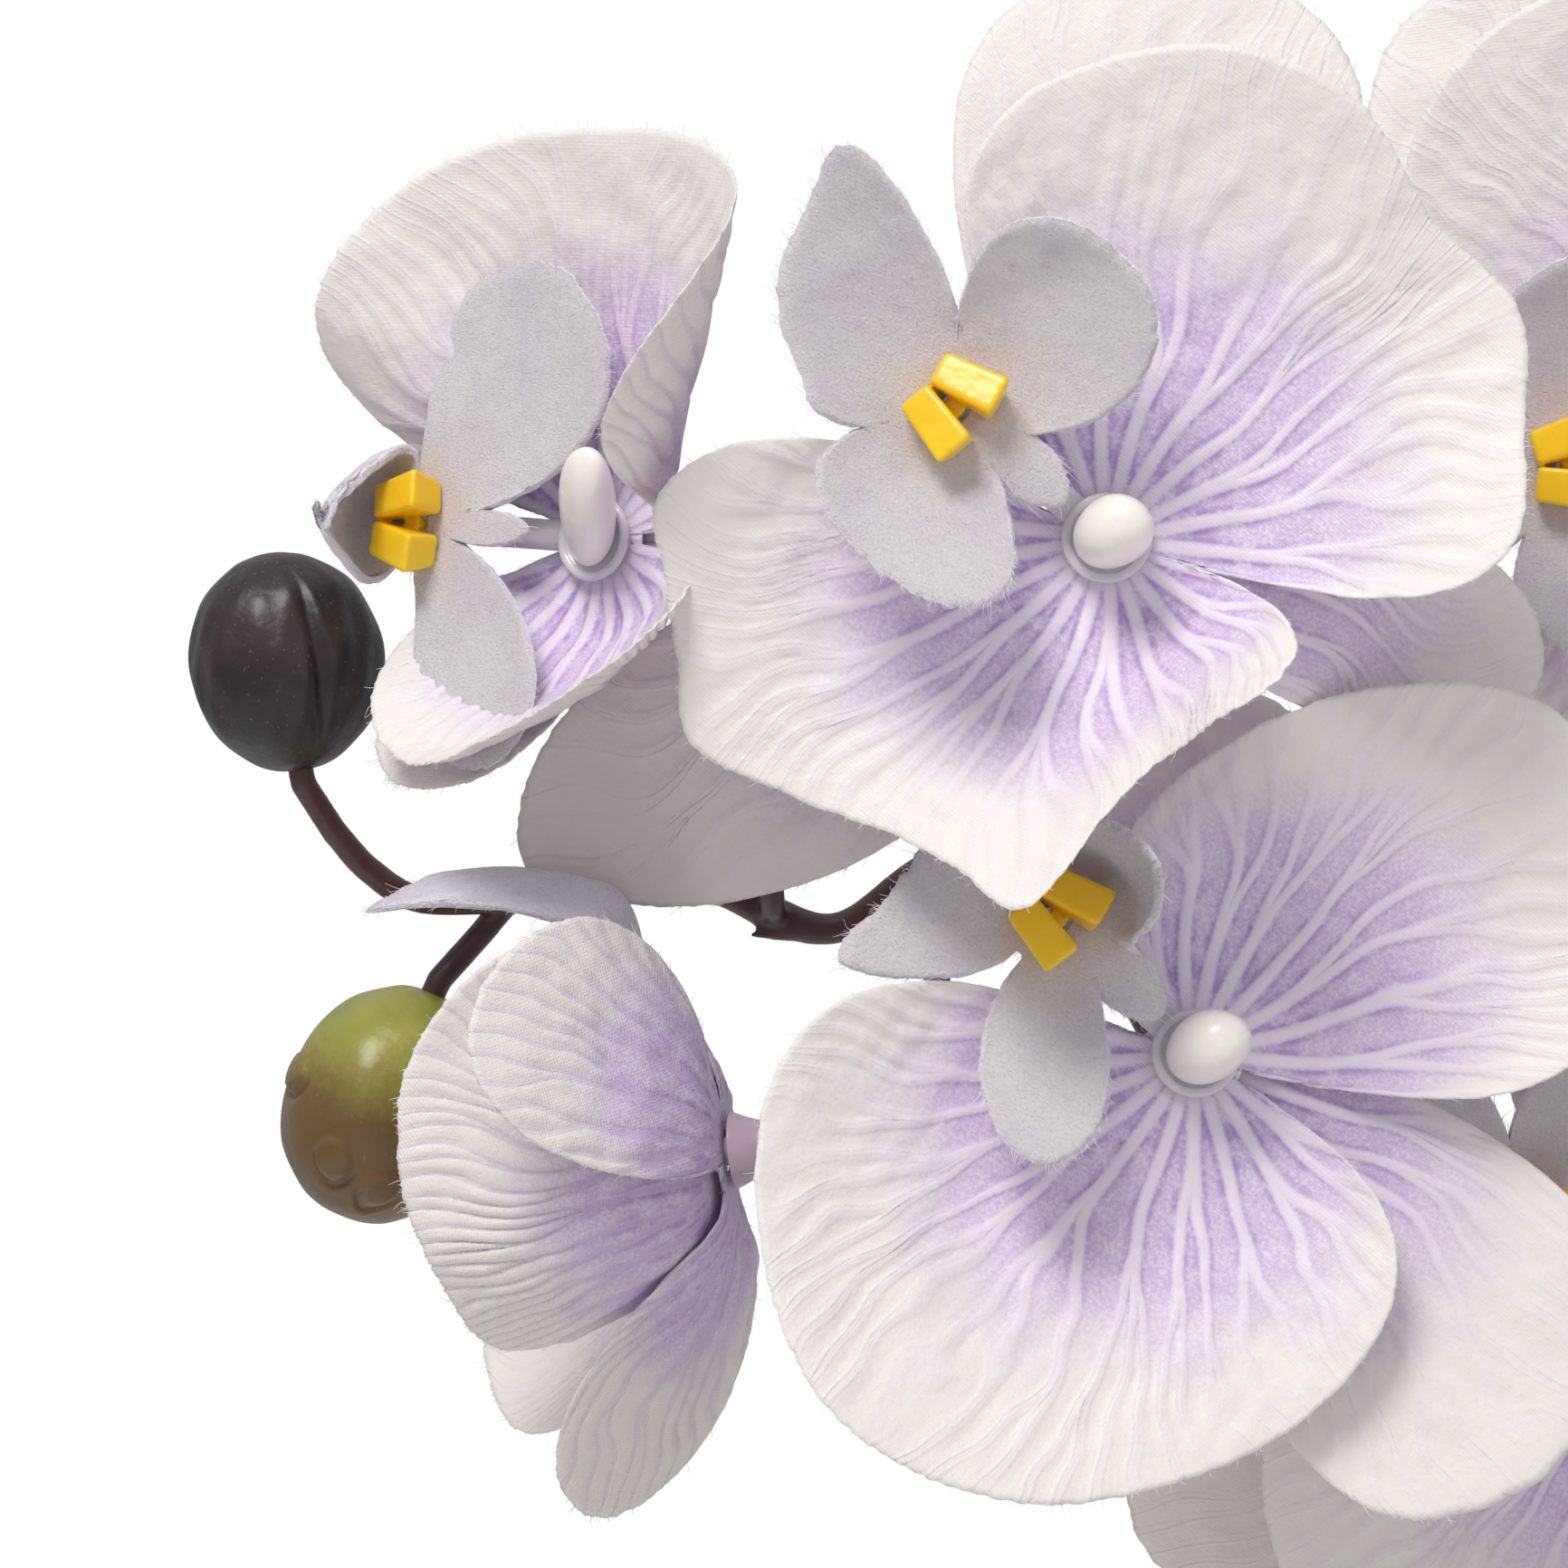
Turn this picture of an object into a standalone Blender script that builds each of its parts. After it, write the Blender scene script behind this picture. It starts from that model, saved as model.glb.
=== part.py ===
"""Potted artificial moth orchid: a plain ceramic pot, a set plug under a layer of bark, strap leaves on a crown, and one
arching moulded stem that carries eight cloth flowers and two buds.

Blender 4.5 script: blender --background --python part.py. Lengths are in metres unless a name ends in _mm, and angles
are in degrees. +Z is up and the origin is the centre of the pot's underside. The spray arches towards -X and its
flowers face about -Y.

Each flower is built in its own frame: the origin is where the cloth layers meet, +X runs towards the lip, +Z faces
whoever looks into the flower, and every piece is parented to an empty that stands there.
"""

from dataclasses import dataclass, replace
from math import cos, pi, radians, sin

import bmesh
import bpy
import numpy as np
from mathutils import Matrix, Vector

MM = 0.001
GAP = 0.3 * MM  # clearance between pieces that touch

# Pot, plug and bark
POT_HEIGHT = 110 * MM
POT_TOP_RADIUS = 60 * MM
POT_FOOT_RADIUS = 46 * MM
POT_WALL = 5 * MM
POT_FLOOR = 6 * MM
PLUG_TOP = 94 * MM
PLUG_HOLE_FLOOR = 28 * MM
BARK_EDGE_TOP = 103 * MM
BARK_MIDDLE_TOP = 109 * MM
POT_STEPS = 32

# Crown and leaves
CROWN_RADIUS = 8 * MM
CROWN_TOP = 126 * MM
CROWN_STEPS = 12
LEAF_THICKNESS = 1.6 * MM
LEAF_FOOT_WIDTH = 8 * MM

# Stem
STEM_FOOT_RADIUS = 2.3 * MM
STEM_TIP_RADIUS = 1.4 * MM
STALK_RADIUS = 1.4 * MM
STEM_BORE = STEM_FOOT_RADIUS + 0.5 * MM

# Cloth layers, in a flower's own frame
HUB = 4.5 * MM  # radius of the flat middle that the lobes grow from
PIN_HOLE = 2.0 * MM
RING_SPACING = 1.7  # above 1, the rings of a layer's grid crowd towards its hub
CLOTH = 0.6 * MM
SEPAL_LEVEL = -0.6 * MM
PETAL_LEVEL = 0.45 * MM

# Lip, in a flower's own frame
LIP_REACH = 17 * MM
LIP_LEVEL = 6.0 * MM
LIP_HUB = 4.4 * MM
LIP_HOLE = 1.3 * MM
VELVET = 0.8 * MM
PEG_RADIUS = 1.0 * MM

# Pin and socket
SHANK_RADIUS = 1.4 * MM
SHANK_END = -4.5 * MM
SOCKET_BORE = 1.7 * MM
SOCKET_END = -10 * MM
STALK_END = -5.0 * MM
STALK_LEAD = 9 * MM  # how straight a stalk runs up to its socket
PIN_STEPS = 10


# ---------------------------------------------------------------- cloth layers


@dataclass
class Lobe:
    """One petal, sepal or lip lobe. Its lists hold values at even angles across it, from -spread to +spread."""

    angle: float  # its direction, anticlockwise from the lip's
    spread: float  # half the angle that it takes at the hub
    rim_mm: tuple  # how far its cut edge lies from the middle of the hub
    lift: tuple = (8,)  # tilt towards the viewer just outside the hub
    curl: tuple = (15,)  # further tilt, gained evenly on the way out
    ruffle_mm: float = 0  # height of the waves in its edge
    waves: float = 5  # waves to a radian
    phase: float = 0


def ease(t):
    """0 up to 0, 1 from 1, and a smooth step between."""
    t = np.clip(t, 0, 1)
    return t * t * (3 - 2 * t)


def wrapped(angle):
    """The angle between -pi and pi."""
    return (angle + pi) % (2 * pi) - pi


def spread_out(values, share):
    """A smooth curve through the values, which stand at even steps of share from -1 to 1."""
    if len(values) == 1:
        return np.full(np.shape(share), float(values[0]))
    knots = np.array([2 * values[0] - values[1], *values, 2 * values[-1] - values[-2]], dtype=float)
    place = (np.clip(share, -1, 1) + 1) / 2 * (len(values) - 1)
    k = np.minimum(place.astype(int), len(values) - 2)
    t = place - k
    a, b, c, d = knots[k], knots[k + 1], knots[k + 2], knots[k + 3]
    return 0.5 * (2 * b + (c - a) * t + (2 * a - 5 * b + 4 * c - d) * t**2 + (3 * b - a - 3 * c + d) * t**3)


def layer_shape(lobes, theta, hub):
    """Reach, lift, curl and edge waves of a layer in the directions theta. Neighbouring lobes blend at a notch."""
    reaches, lifts, curls, waves = [], [], [], []
    for lobe in lobes:
        phi = wrapped(theta - radians(lobe.angle))
        share = phi / radians(lobe.spread)
        closing = np.clip(1 - np.abs(share) ** 10, 0, 1)
        reaches.append(spread_out(lobe.rim_mm, share) * MM * np.sqrt(closing))
        lifts.append(spread_out(lobe.lift, share))
        curls.append(spread_out(lobe.curl, share))
        waves.append(lobe.ruffle_mm * MM * np.sin(lobe.waves * phi + lobe.phase))
    reaches = np.array(reaches)
    weights = np.maximum(reaches, 1e-4) ** 6
    weights = weights / weights.sum(axis=0)
    rim = np.maximum(reaches.max(axis=0), hub)
    return rim, *((weights * np.array(values)).sum(axis=0) for values in (lifts, curls, waves))


def layer_points(lobes, u, v, hub, hole):
    """Points of a pressed layer. u runs round the cut edge from 0 to 1, and v from the pin's hole to the edge."""
    theta = np.linspace(0, 2 * pi, 1441)
    rims = layer_shape(lobes, theta, hub)[0]
    steps = np.hypot(np.diff(rims * np.cos(theta)), np.diff(rims * np.sin(theta)))
    travelled = np.concatenate([[0], np.cumsum(steps)])
    theta = np.interp(u * travelled[-1], travelled, theta)

    rim, lift, curl, wave = layer_shape(lobes, theta, hub)
    r = hole + (rim - hole) * v**RING_SPACING
    longest = max(max(lobe.rim_mm) for lobe in lobes) * MM
    out, rise = np.minimum(r, hub), np.zeros_like(r)
    samples = 24
    step = np.maximum(r - hub, 0) / samples
    for k in range(samples):
        share = (k + 0.5) * step / (longest - hub)
        tilt = np.radians(lift * ease(share / 0.2) + curl * share)
        out, rise = out + step * np.cos(tilt), rise + step * np.sin(tilt)
    rise = rise + wave * ease((rim - hub) / (0.4 * longest)) * (r / rim) ** 3
    return np.stack([out * np.cos(theta), out * np.sin(theta), rise], axis=1)


# -------------------------------------------------------------- object helpers


def clear_scene():
    for old in list(bpy.data.objects):
        bpy.data.objects.remove(old)


def new_collection(name, hidden=False):
    made = bpy.data.collections.new(name)
    made.hide_render = hidden
    bpy.context.scene.collection.children.link(made)
    return made


def new_material(name, colour, roughness, metallic=0.0):
    made = bpy.data.materials.new(name)
    made.use_nodes = True
    shader = made.node_tree.nodes["Principled BSDF"]
    shader.inputs["Base Color"].default_value = (*colour, 1)
    shader.inputs["Roughness"].default_value = roughness
    shader.inputs["Metallic"].default_value = metallic
    made.diffuse_color = (*colour, 1)
    return made


def new_object(name, data, collection, material, parent=None):
    made = bpy.data.objects.new(name, data)
    collection.objects.link(made)
    if not data.materials:
        data.materials.append(material)
    made.parent = parent
    return made


def mesh_from(bm, name):
    bmesh.ops.recalc_face_normals(bm, faces=bm.faces)
    mesh = bpy.data.meshes.new(name)
    bm.to_mesh(mesh)
    bm.free()
    mesh.shade_smooth()
    mesh.set_sharp_from_angle(angle=radians(40))
    return mesh


def taken_mesh(source):
    """The object's mesh with its modifiers applied and welded. The object is removed."""
    bpy.context.view_layer.update()
    graph = bpy.context.evaluated_depsgraph_get()
    mesh = bpy.data.meshes.new_from_object(source.evaluated_get(graph))
    bm = bmesh.new()
    bm.from_mesh(mesh)
    bmesh.ops.remove_doubles(bm, verts=bm.verts, dist=1e-6)
    bmesh.ops.triangulate(bm, faces=[face for face in bm.faces if len(face.verts) > 4])
    bm.to_mesh(mesh)
    bm.free()
    bpy.data.objects.remove(source)
    return mesh


def add_union(target, others):
    """Adds the objects to the target, as one moulding."""
    for other in others:
        other.display_type = "WIRE"
        other.hide_render = True
        join = target.modifiers.new(other.name, "BOOLEAN")
        join.operation = "UNION"
        join.solver = "EXACT"
        join.object = other


def turned(name, profile, steps, closed, collection, material, parent=None):
    """A shape turned about +Z from (radius, height) points that run down its outer side."""
    bm = bmesh.new()
    verts = [bm.verts.new((radius, 0, height)) for radius, height in profile]
    for a, b in zip(verts, verts[1:]):
        bm.edges.new((a, b))
    if closed:
        bm.edges.new((verts[-1], verts[0]))
    mesh = bpy.data.meshes.new(name)
    bm.to_mesh(mesh)
    bm.free()
    made = new_object(name, mesh, collection, material, parent)
    screw = made.modifiers.new("Turned", "SCREW")
    screw.steps = screw.render_steps = steps
    screw.use_merge_vertices = True
    screw.merge_threshold = 1e-5
    screw.use_smooth_shade = True
    return made


def cloth_layer(name, lobes, grid, hub, hole, thickness, offset, collection, material, parent):
    """A layer of cloth: a grid wrapped round the pin's hole, pressed to shape and given its thickness."""
    bm = bmesh.new()
    bmesh.ops.create_grid(bm, x_segments=grid[0], y_segments=grid[1], size=1)
    u = np.array([(vert.co.x + 1) / 2 for vert in bm.verts])
    v = np.array([(vert.co.y + 1) / 2 for vert in bm.verts])
    for vert, point in zip(bm.verts, layer_points(lobes, u, v, hub, hole)):
        vert.co = Vector(point) + offset
    bmesh.ops.remove_doubles(bm, verts=bm.verts, dist=1e-6)
    made = new_object(name, mesh_from(bm, name), collection, material, parent)
    wall = made.modifiers.new("Thickness", "SOLIDIFY")
    wall.thickness = thickness
    wall.offset = 0
    return made


def smooth_path(points, per_span):
    """Points of a Catmull-Rom curve through the given ones."""
    ends = [2 * points[0] - points[1], *points, 2 * points[-1] - points[-2]]
    path = []
    for a, b, c, d in zip(ends, ends[1:], ends[2:], ends[3:]):
        for k in range(per_span):
            t = k / per_span
            bend = (2 * a - 5 * b + 4 * c - d) * t**2 + (3 * b - a - 3 * c + d) * t**3
            path.append(0.5 * (2 * b + (c - a) * t + bend))
    return [*path, points[-1]]


def arc_path(start, leave, end, arrive, count):
    """Points of a cubic curve that leaves start and arrives at end along the given vectors."""
    a, b, c, d = start, start + leave, end - arrive, end
    shares = [k / count for k in range(count + 1)]
    return [a * (1 - t) ** 3 + 3 * b * t * (1 - t) ** 2 + 3 * c * t**2 * (1 - t) + d * t**3 for t in shares]


def rod(name, path, radii, collection, material):
    """A round rod along the path, closed at both ends, as a mesh."""
    curve = bpy.data.curves.new(name, "CURVE")
    curve.dimensions = "3D"
    curve.bevel_depth = 1
    curve.bevel_resolution = 2
    curve.use_fill_caps = True
    spline = curve.splines.new("POLY")
    spline.points.add(len(path) - 1)
    for point, place, radius in zip(spline.points, path, radii):
        point.co = (*place, 1)
        point.radius = radius
    mesh = taken_mesh(new_object(f"{name}_line", curve, collection, material))
    return new_object(name, mesh, collection, material)


# --------------------------------------------------------------------- flowers


@dataclass
class Flower:
    """Where a flower stands, how it faces and how its lobes are bent."""

    name: str
    at_mm: tuple  # where its cloth layers meet
    yaw: float  # turned from -Y towards -X
    pitch: float  # turned upwards
    lip: float  # the lip's direction, anticlockwise from the right as the flower is seen
    joins: int  # the point of the stem's path that its stalk leaves
    petals: list
    sepals: list
    lip_lobes: list
    leave_mm: tuple = (0, -12, 0)  # how its stalk sets off from the stem
    fine: bool = True

    def frame(self):
        yaw, pitch, lip = radians(self.yaw), radians(self.pitch), radians(self.lip)
        facing = Vector((-sin(yaw) * cos(pitch), -cos(yaw) * cos(pitch), sin(pitch)))
        right = Vector((cos(yaw), -sin(yaw), 0))
        up = facing.cross(right)
        towards_lip = right * cos(lip) + up * sin(lip)
        across = facing.cross(towards_lip)
        turn = Matrix((towards_lip, across, facing)).transposed().to_4x4()
        return Matrix.Translation(Vector(self.at_mm) * MM) @ turn


PETAL_A = Lobe(
    angle=95, spread=80, rim_mm=(26, 37, 43, 45, 44, 46, 45, 38, 27),
    lift=(5, 6, 4, 6, 5), curl=(8, 12, 8, 12, 8), ruffle_mm=2, waves=4.2,
)
PETAL_B = replace(PETAL_A, angle=-95, phase=2.1)
SEPAL_A = Lobe(angle=58, spread=46, rim_mm=(8, 22, 39, 50, 53, 48, 38, 22, 8),
               lift=(2, -6, 2), curl=(5, -8, 5))
SEPAL_B = replace(SEPAL_A, angle=-58)
SEPAL_C = replace(SEPAL_A, angle=180)
SHORT_SEPAL = replace(SEPAL_A, rim_mm=(8, 18, 28, 34, 36, 34, 28, 18, 8))
LIP_FRONT = Lobe(
    angle=0, spread=56, rim_mm=(9, 14, 24, 18, 17, 18, 24, 14, 9), lift=(25, 10, 25), curl=(35, 10, 35)
)
LIP_EAR_A = Lobe(angle=106, spread=58, rim_mm=(9, 15, 18.5, 20.5, 21, 19, 13, 6), lift=(22,), curl=(25,))
LIP_EAR_B = replace(LIP_EAR_A, angle=-106, rim_mm=(6, 13, 19, 21, 20.5, 18.5, 15, 9))
LIP_TONGUE = Lobe(angle=180, spread=28, rim_mm=(5, 10, 12.6, 10, 5), lift=(-4,), curl=(4,))
USUAL_LIP = [LIP_FRONT, LIP_EAR_A, LIP_EAR_B, LIP_TONGUE]

FLOWERS = [
    Flower(
        "flower_a", (-171, -14, 407), yaw=37, pitch=4, lip=176, joins=29,
        petals=[
            Lobe(
                angle=97, spread=79, rim_mm=(16, 24, 30, 34, 34, 33, 30), lift=(8, 34, 50, 50, 40),
                curl=(20, 50, 60, 60, 50), ruffle_mm=1, waves=4,
            ),
            Lobe(
                angle=-92, spread=78, rim_mm=(34, 40, 43, 42, 38, 36, 34, 31, 26),
                lift=(50, 32, 14, 8, 8, 12, 16, 6), curl=(60, 45, 20, 10, 10, 15, 25, 16), ruffle_mm=1, waves=4,
            ),
        ],
        sepals=[
            replace(SEPAL_A, rim_mm=(8, 16, 25, 29, 30, 28, 24, 16, 8), lift=(0, 10, 22), curl=(6, 32, 44)),
            replace(SEPAL_B, rim_mm=(8, 18, 28, 33, 35, 33, 27, 17, 8), lift=(-2,), curl=(-2,)),
            replace(SEPAL_C, rim_mm=(8, 18, 26, 30, 31, 29, 24, 16, 8), lift=(-34,), curl=(-4,)),
        ],
        lip_lobes=[
            replace(LIP_FRONT, lift=(45, 40, 45), curl=(40, 30, 40)),
            replace(LIP_EAR_A, lift=(60, 52, 36, 12), curl=(20,)),
            LIP_EAR_B,
            LIP_TONGUE,
        ],
    ),
    Flower(
        "flower_b", (-126.8, -34, 406.3), yaw=4, pitch=3, lip=140, joins=24,
        petals=[
            Lobe(
                angle=108, spread=94, rim_mm=(31, 39, 38, 40, 35, 32, 34, 34, 32, 30, 26),
                lift=(10, 4, 2, 2, 6, 14, 30, 42, 42, 34), curl=(20, 8, 4, 6, 12, 25, 40, 45, 40, 35),
                ruffle_mm=1, waves=5, phase=1,
            ),
            Lobe(
                angle=-88, spread=70, rim_mm=(36, 40, 41, 42, 44, 47, 47, 46, 42, 35),
                lift=(8, 5, 3, 5, 8, 12), curl=(16, 12, 8, 5, 10, 18), ruffle_mm=2, waves=5, phase=0.6,
            ),
        ],
        sepals=[
            replace(SEPAL_A, angle=69, spread=40, rim_mm=(8, 22, 40, 54, 57, 50, 38, 22, 8),
                    lift=(-22,), curl=(-2,)),
            replace(SEPAL_B, angle=-56, rim_mm=(10, 30, 46, 52, 53, 51, 44, 26, 8),
                    lift=(-4,), curl=(-10,)),
            replace(SEPAL_C, angle=200, rim_mm=(8, 12, 20, 36, 44, 43, 34, 20, 8), lift=(-38,), curl=(16,)),
        ],
        lip_lobes=USUAL_LIP,
    ),
    Flower(
        "flower_c", (-118.8, -25, 361), yaw=-4, pitch=8, lip=138, joins=25,
        petals=[
            Lobe(
                angle=106, spread=84, rim_mm=(34, 41, 41, 41, 44, 45, 42, 36, 27),
                lift=(20, 14, 8, 6, 8, 10, 14), curl=(10, 14, 18, 16, 12, 14, 18), ruffle_mm=1.5, waves=4, phase=2,
            ),
            Lobe(
                angle=-84, spread=70, rim_mm=(32, 38, 43, 44, 36, 28, 22, 16),
                lift=(12, 8, 10, 14, 14), curl=(18, 15, 12, 12, 15), ruffle_mm=1.5, waves=4, phase=1,
            ),
        ],
        sepals=[
            replace(SEPAL_A, angle=62, rim_mm=(6, 10, 18, 34, 46, 43, 34, 20, 8), lift=(-34,), curl=(-6,)),
            replace(SEPAL_B, rim_mm=(8, 18, 28, 34, 36, 34, 27, 17, 8), lift=(-14,), curl=(-10,)),
            replace(SEPAL_C, angle=174, rim_mm=(10, 28, 42, 47, 48, 46, 40, 25, 8), lift=(2,), curl=(2,)),
        ],
        lip_lobes=[
            replace(LIP_FRONT, angle=25, rim_mm=(8, 12, 17, 14, 14, 16, 20, 13, 9),
                    lift=(10, 4, 10), curl=(10,)),
            LIP_EAR_A,
            LIP_EAR_B,
            LIP_TONGUE,
        ],
    ),
    Flower(
        "flower_d", (-160.8, -16, 352), yaw=100, pitch=-6, lip=84, joins=26, leave_mm=(0, -40, 4),
        petals=[
            Lobe(
                angle=96, spread=80, rim_mm=(16, 24, 32, 36, 37, 36, 33, 26), lift=(6, 40, 44, 44, 40),
                curl=(16, 44, 44, 44, 44), ruffle_mm=1, waves=4,
            ),
            Lobe(
                angle=-92, spread=78, rim_mm=(22, 30, 34, 36, 37, 36, 35, 30, 22), lift=(40, 44, 44, 42, 34, 8),
                curl=(50, 50, 50, 50, 40, 10), ruffle_mm=1, waves=4,
            ),
        ],
        sepals=[
            replace(SEPAL_A, rim_mm=(8, 14, 20, 23, 24, 23, 20, 14, 8), lift=(-4, 4, 12), curl=(4, 22, 34)),
            replace(SEPAL_B, angle=-58, rim_mm=(8, 18, 27, 31, 32, 30, 26, 17, 8),
                    lift=(26, 18, -2), curl=(30, 30, 4)),
            replace(SEPAL_C, rim_mm=(8, 20, 32, 38, 40, 37, 29, 18, 8), lift=(12, 30, 16), curl=(12,)),
        ],
        lip_lobes=[
            replace(LIP_FRONT, lift=(44,), curl=(76,)),
            replace(LIP_EAR_A, lift=(40,), curl=(60,)),
            replace(LIP_EAR_B, lift=(40,), curl=(60,)),
            LIP_TONGUE,
        ],
    ),
    Flower(
        "flower_e", (-66.5, -8, 415), yaw=6, pitch=2, lip=185, joins=19, fine=False,
        petals=[PETAL_A, PETAL_B], sepals=[SHORT_SEPAL, SEPAL_B, SEPAL_C], lip_lobes=USUAL_LIP,
    ),
    Flower(
        "flower_f", (-74, 8, 337), yaw=-8, pitch=-4, lip=150, joins=21, fine=False,
        petals=[PETAL_A, PETAL_B], sepals=[SEPAL_A, replace(SHORT_SEPAL, angle=-58), SEPAL_C], lip_lobes=USUAL_LIP,
    ),
    Flower(
        "flower_g", (-6, -32, 412), yaw=-18, pitch=8, lip=200, joins=15, fine=False,
        petals=[PETAL_A, PETAL_B], sepals=[SEPAL_A, SEPAL_B, SEPAL_C], lip_lobes=USUAL_LIP,
    ),
    Flower(
        "flower_h", (-16, -14, 336), yaw=6, pitch=-4, lip=205, joins=12, fine=False,
        petals=[PETAL_A, PETAL_B], sepals=[SEPAL_A, SEPAL_B, SEPAL_C], lip_lobes=USUAL_LIP,
    ),
]
FINE_GRIDS = {"petals": (24, 3), "sepals": (20, 3), "lip": (20, 2)}
COARSE_GRIDS = {"petals": (18, 2), "sepals": (16, 2), "lip": (16, 2)}


def column_mesh(collection, material):
    """The pin: a rounded knob, a flange with an arm out to the lip, and the shank behind."""
    profile_mm = [(0, 10.2), (1.7, 9.8), (2.9, 8.4), (3.2, 6.4), (2.6, 2.0), (4.0, 1.8), (4.0, 1.05)]
    profile = [(radius * MM, height * MM) for radius, height in profile_mm]
    profile += [(SHANK_RADIUS, 1.05 * MM), (SHANK_RADIUS, SHANK_END), (0, SHANK_END)]
    knob = turned("knob", profile, PIN_STEPS, False, collection, material)
    bm = bmesh.new()
    bmesh.ops.create_cube(bm, size=1)
    inner = Vector((2.2 * MM, 0, 1.42 * MM))
    outer = Vector((LIP_REACH + 1.5 * MM, 0, LIP_LEVEL - 1.2 * MM))
    for vert in bm.verts:
        middle = outer if vert.co.x > 0 else inner
        vert.co = middle + Vector((0, vert.co.y * 2.6 * MM, vert.co.z * 0.7 * MM))
    arm = new_object("arm", mesh_from(bm, "arm"), collection, material)
    add_union(knob, [arm])
    mesh = taken_mesh(knob)
    bpy.data.objects.remove(arm)
    return mesh


def callus_mesh(collection, material):
    """The block on the lip: two blunt wings that meet in a V, and a peg through the velvet."""
    foot = LIP_LEVEL + VELVET / 2 + GAP
    bm = bmesh.new()
    bmesh.ops.create_grid(bm, x_segments=1, y_segments=2, size=0.5)
    raised = bmesh.ops.extrude_face_region(bm, geom=bm.faces)["geom"]
    tops = {item for item in raised if isinstance(item, bmesh.types.BMVert)}
    for vert in bm.verts:
        wing = abs(vert.co.y) * 2
        flare = 1.2 if vert in tops else 0.8
        height = (2.2 + 1.8 * wing) * MM if vert in tops else 0
        back = LIP_REACH + vert.co.x * 4.2 * MM - (wing - 0.5) * 2.6 * MM
        vert.co = (back, vert.co.y * 7.4 * MM * flare, foot + height)
    block = new_object("block", mesh_from(bm, "block"), collection, material)
    peg_end = LIP_LEVEL - VELVET / 2
    profile = [(0, foot + MM), (PEG_RADIUS, foot + MM), (PEG_RADIUS, peg_end), (0, peg_end)]
    peg = turned("peg", profile, 8, False, collection, material)
    peg.location.x = LIP_REACH
    add_union(block, [peg])
    mesh = taken_mesh(block)
    bpy.data.objects.remove(peg)
    return mesh


def socket_mesh(collection, material):
    """The short tube behind the cloth that takes the pin's shank at one end and the stalk at the other."""
    top = SEPAL_LEVEL - CLOTH / 2 - GAP
    profile = [(3.4 * MM, top), (2.5 * MM, top - 3 * MM), (2.4 * MM, SOCKET_END)]
    profile += [(SOCKET_BORE, SOCKET_END), (SOCKET_BORE, top)]
    return taken_mesh(turned("socket", profile, PIN_STEPS, True, collection, material))


def build_flower(flower, moulded, materials, collection):
    stand = bpy.data.objects.new(flower.name, None)
    collection.objects.link(stand)
    stand.matrix_world = flower.frame()
    grids = FINE_GRIDS if flower.fine else COARSE_GRIDS
    layers = (
        ("petals", flower.petals, HUB, PIN_HOLE, CLOTH, Vector((0, 0, PETAL_LEVEL)), "cloth"),
        ("sepals", flower.sepals, HUB, PIN_HOLE, CLOTH, Vector((0, 0, SEPAL_LEVEL)), "cloth"),
        ("lip", flower.lip_lobes, LIP_HUB, LIP_HOLE, VELVET, Vector((LIP_REACH, 0, LIP_LEVEL)), "velvet"),
    )
    for part, lobes, hub, hole, thickness, offset, material in layers:
        name = f"{flower.name}_{part}"
        cloth_layer(name, lobes, grids[part], hub, hole, thickness, offset, collection, materials[material], stand)
    for part, mesh in moulded.items():
        new_object(f"{flower.name}_{part}", mesh, collection, materials[part], stand)


# -------------------------------------------------------------- stem and buds

STEM_ROUTE_MM = [
    (0, 0, 29), (0, 0, 80), (0, 0, 128), (3, 1, 170), (6, 4, 225), (8, 8, 282), (5, 12, 330), (-5, 16, 366),
    (-26, 18, 384), (-52, 19, 389), (-80, 19, 388), (-102, 18, 385), (-119, 18, 382), (-139.7, 18, 377.5),
    (-150.5, 18, 371.3), (-161.3, 18, 375), (-171, 17, 376.5), (-180.5, 14, 374.5), (-188.8, 9, 374.2),
    (-193.5, 6, 377), (-196.6, 3.5, 380.6),
]
PER_SPAN = 2
BUD_ROUTE_MM = [(-183.8, 14.4, 370.6)]
BUD_FORK = 34  # the point of the stem's path that the lower bud's stalk leaves


@dataclass
class Bud:
    """A closed bud on the end of a stalk. Its axis runs from the stalk to its tip."""

    name: str
    at_mm: tuple  # its middle
    axis: tuple
    profile_mm: list  # (radius, height) from the tip down to its collar


BUDS = [
    Bud(
        "bud_upper", (-200.9, 0, 396.2), (-0.14, -0.1, 1),
        [(0, 10.2), (3.6, 9.3), (6.9, 6.6), (8.6, 2.6), (8.7, -1.4), (7.4, -5.6), (4.4, -8.8), (2.4, -10)],
    ),
    Bud(
        "bud_lower", (-192.2, 14, 355.2), (-0.42, 0, -1),
        [(0, 11.6), (4.4, 10.4), (8, 7), (9.6, 2), (9.3, -3), (7.2, -7.4), (4, -10), (2.4, -10.8)],
    ),
]
BUD_BORE_DEPTH = 3 * MM
BUD_STEPS = 14


def bud_frame(bud):
    turn = Vector(bud.axis).to_track_quat("Z", "Y").to_matrix().to_4x4()
    return Matrix.Translation(Vector(bud.at_mm) * MM) @ turn


def bud_end(bud, depth):
    """The point on the bud's axis at the depth inside its collar."""
    return bud_frame(bud) @ Vector((0, 0, bud.profile_mm[-1][1] * MM + depth))


def build_bud(bud, materials, collection):
    mouth = bud.profile_mm[-1][1] * MM
    profile = [(radius * MM, height * MM) for radius, height in bud.profile_mm]
    profile += [(SOCKET_BORE, mouth), (SOCKET_BORE, mouth + BUD_BORE_DEPTH), (0, mouth + BUD_BORE_DEPTH)]
    made = turned(bud.name, profile, BUD_STEPS, False, collection, materials[bud.name])
    made.matrix_world = bud_frame(bud)


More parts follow.
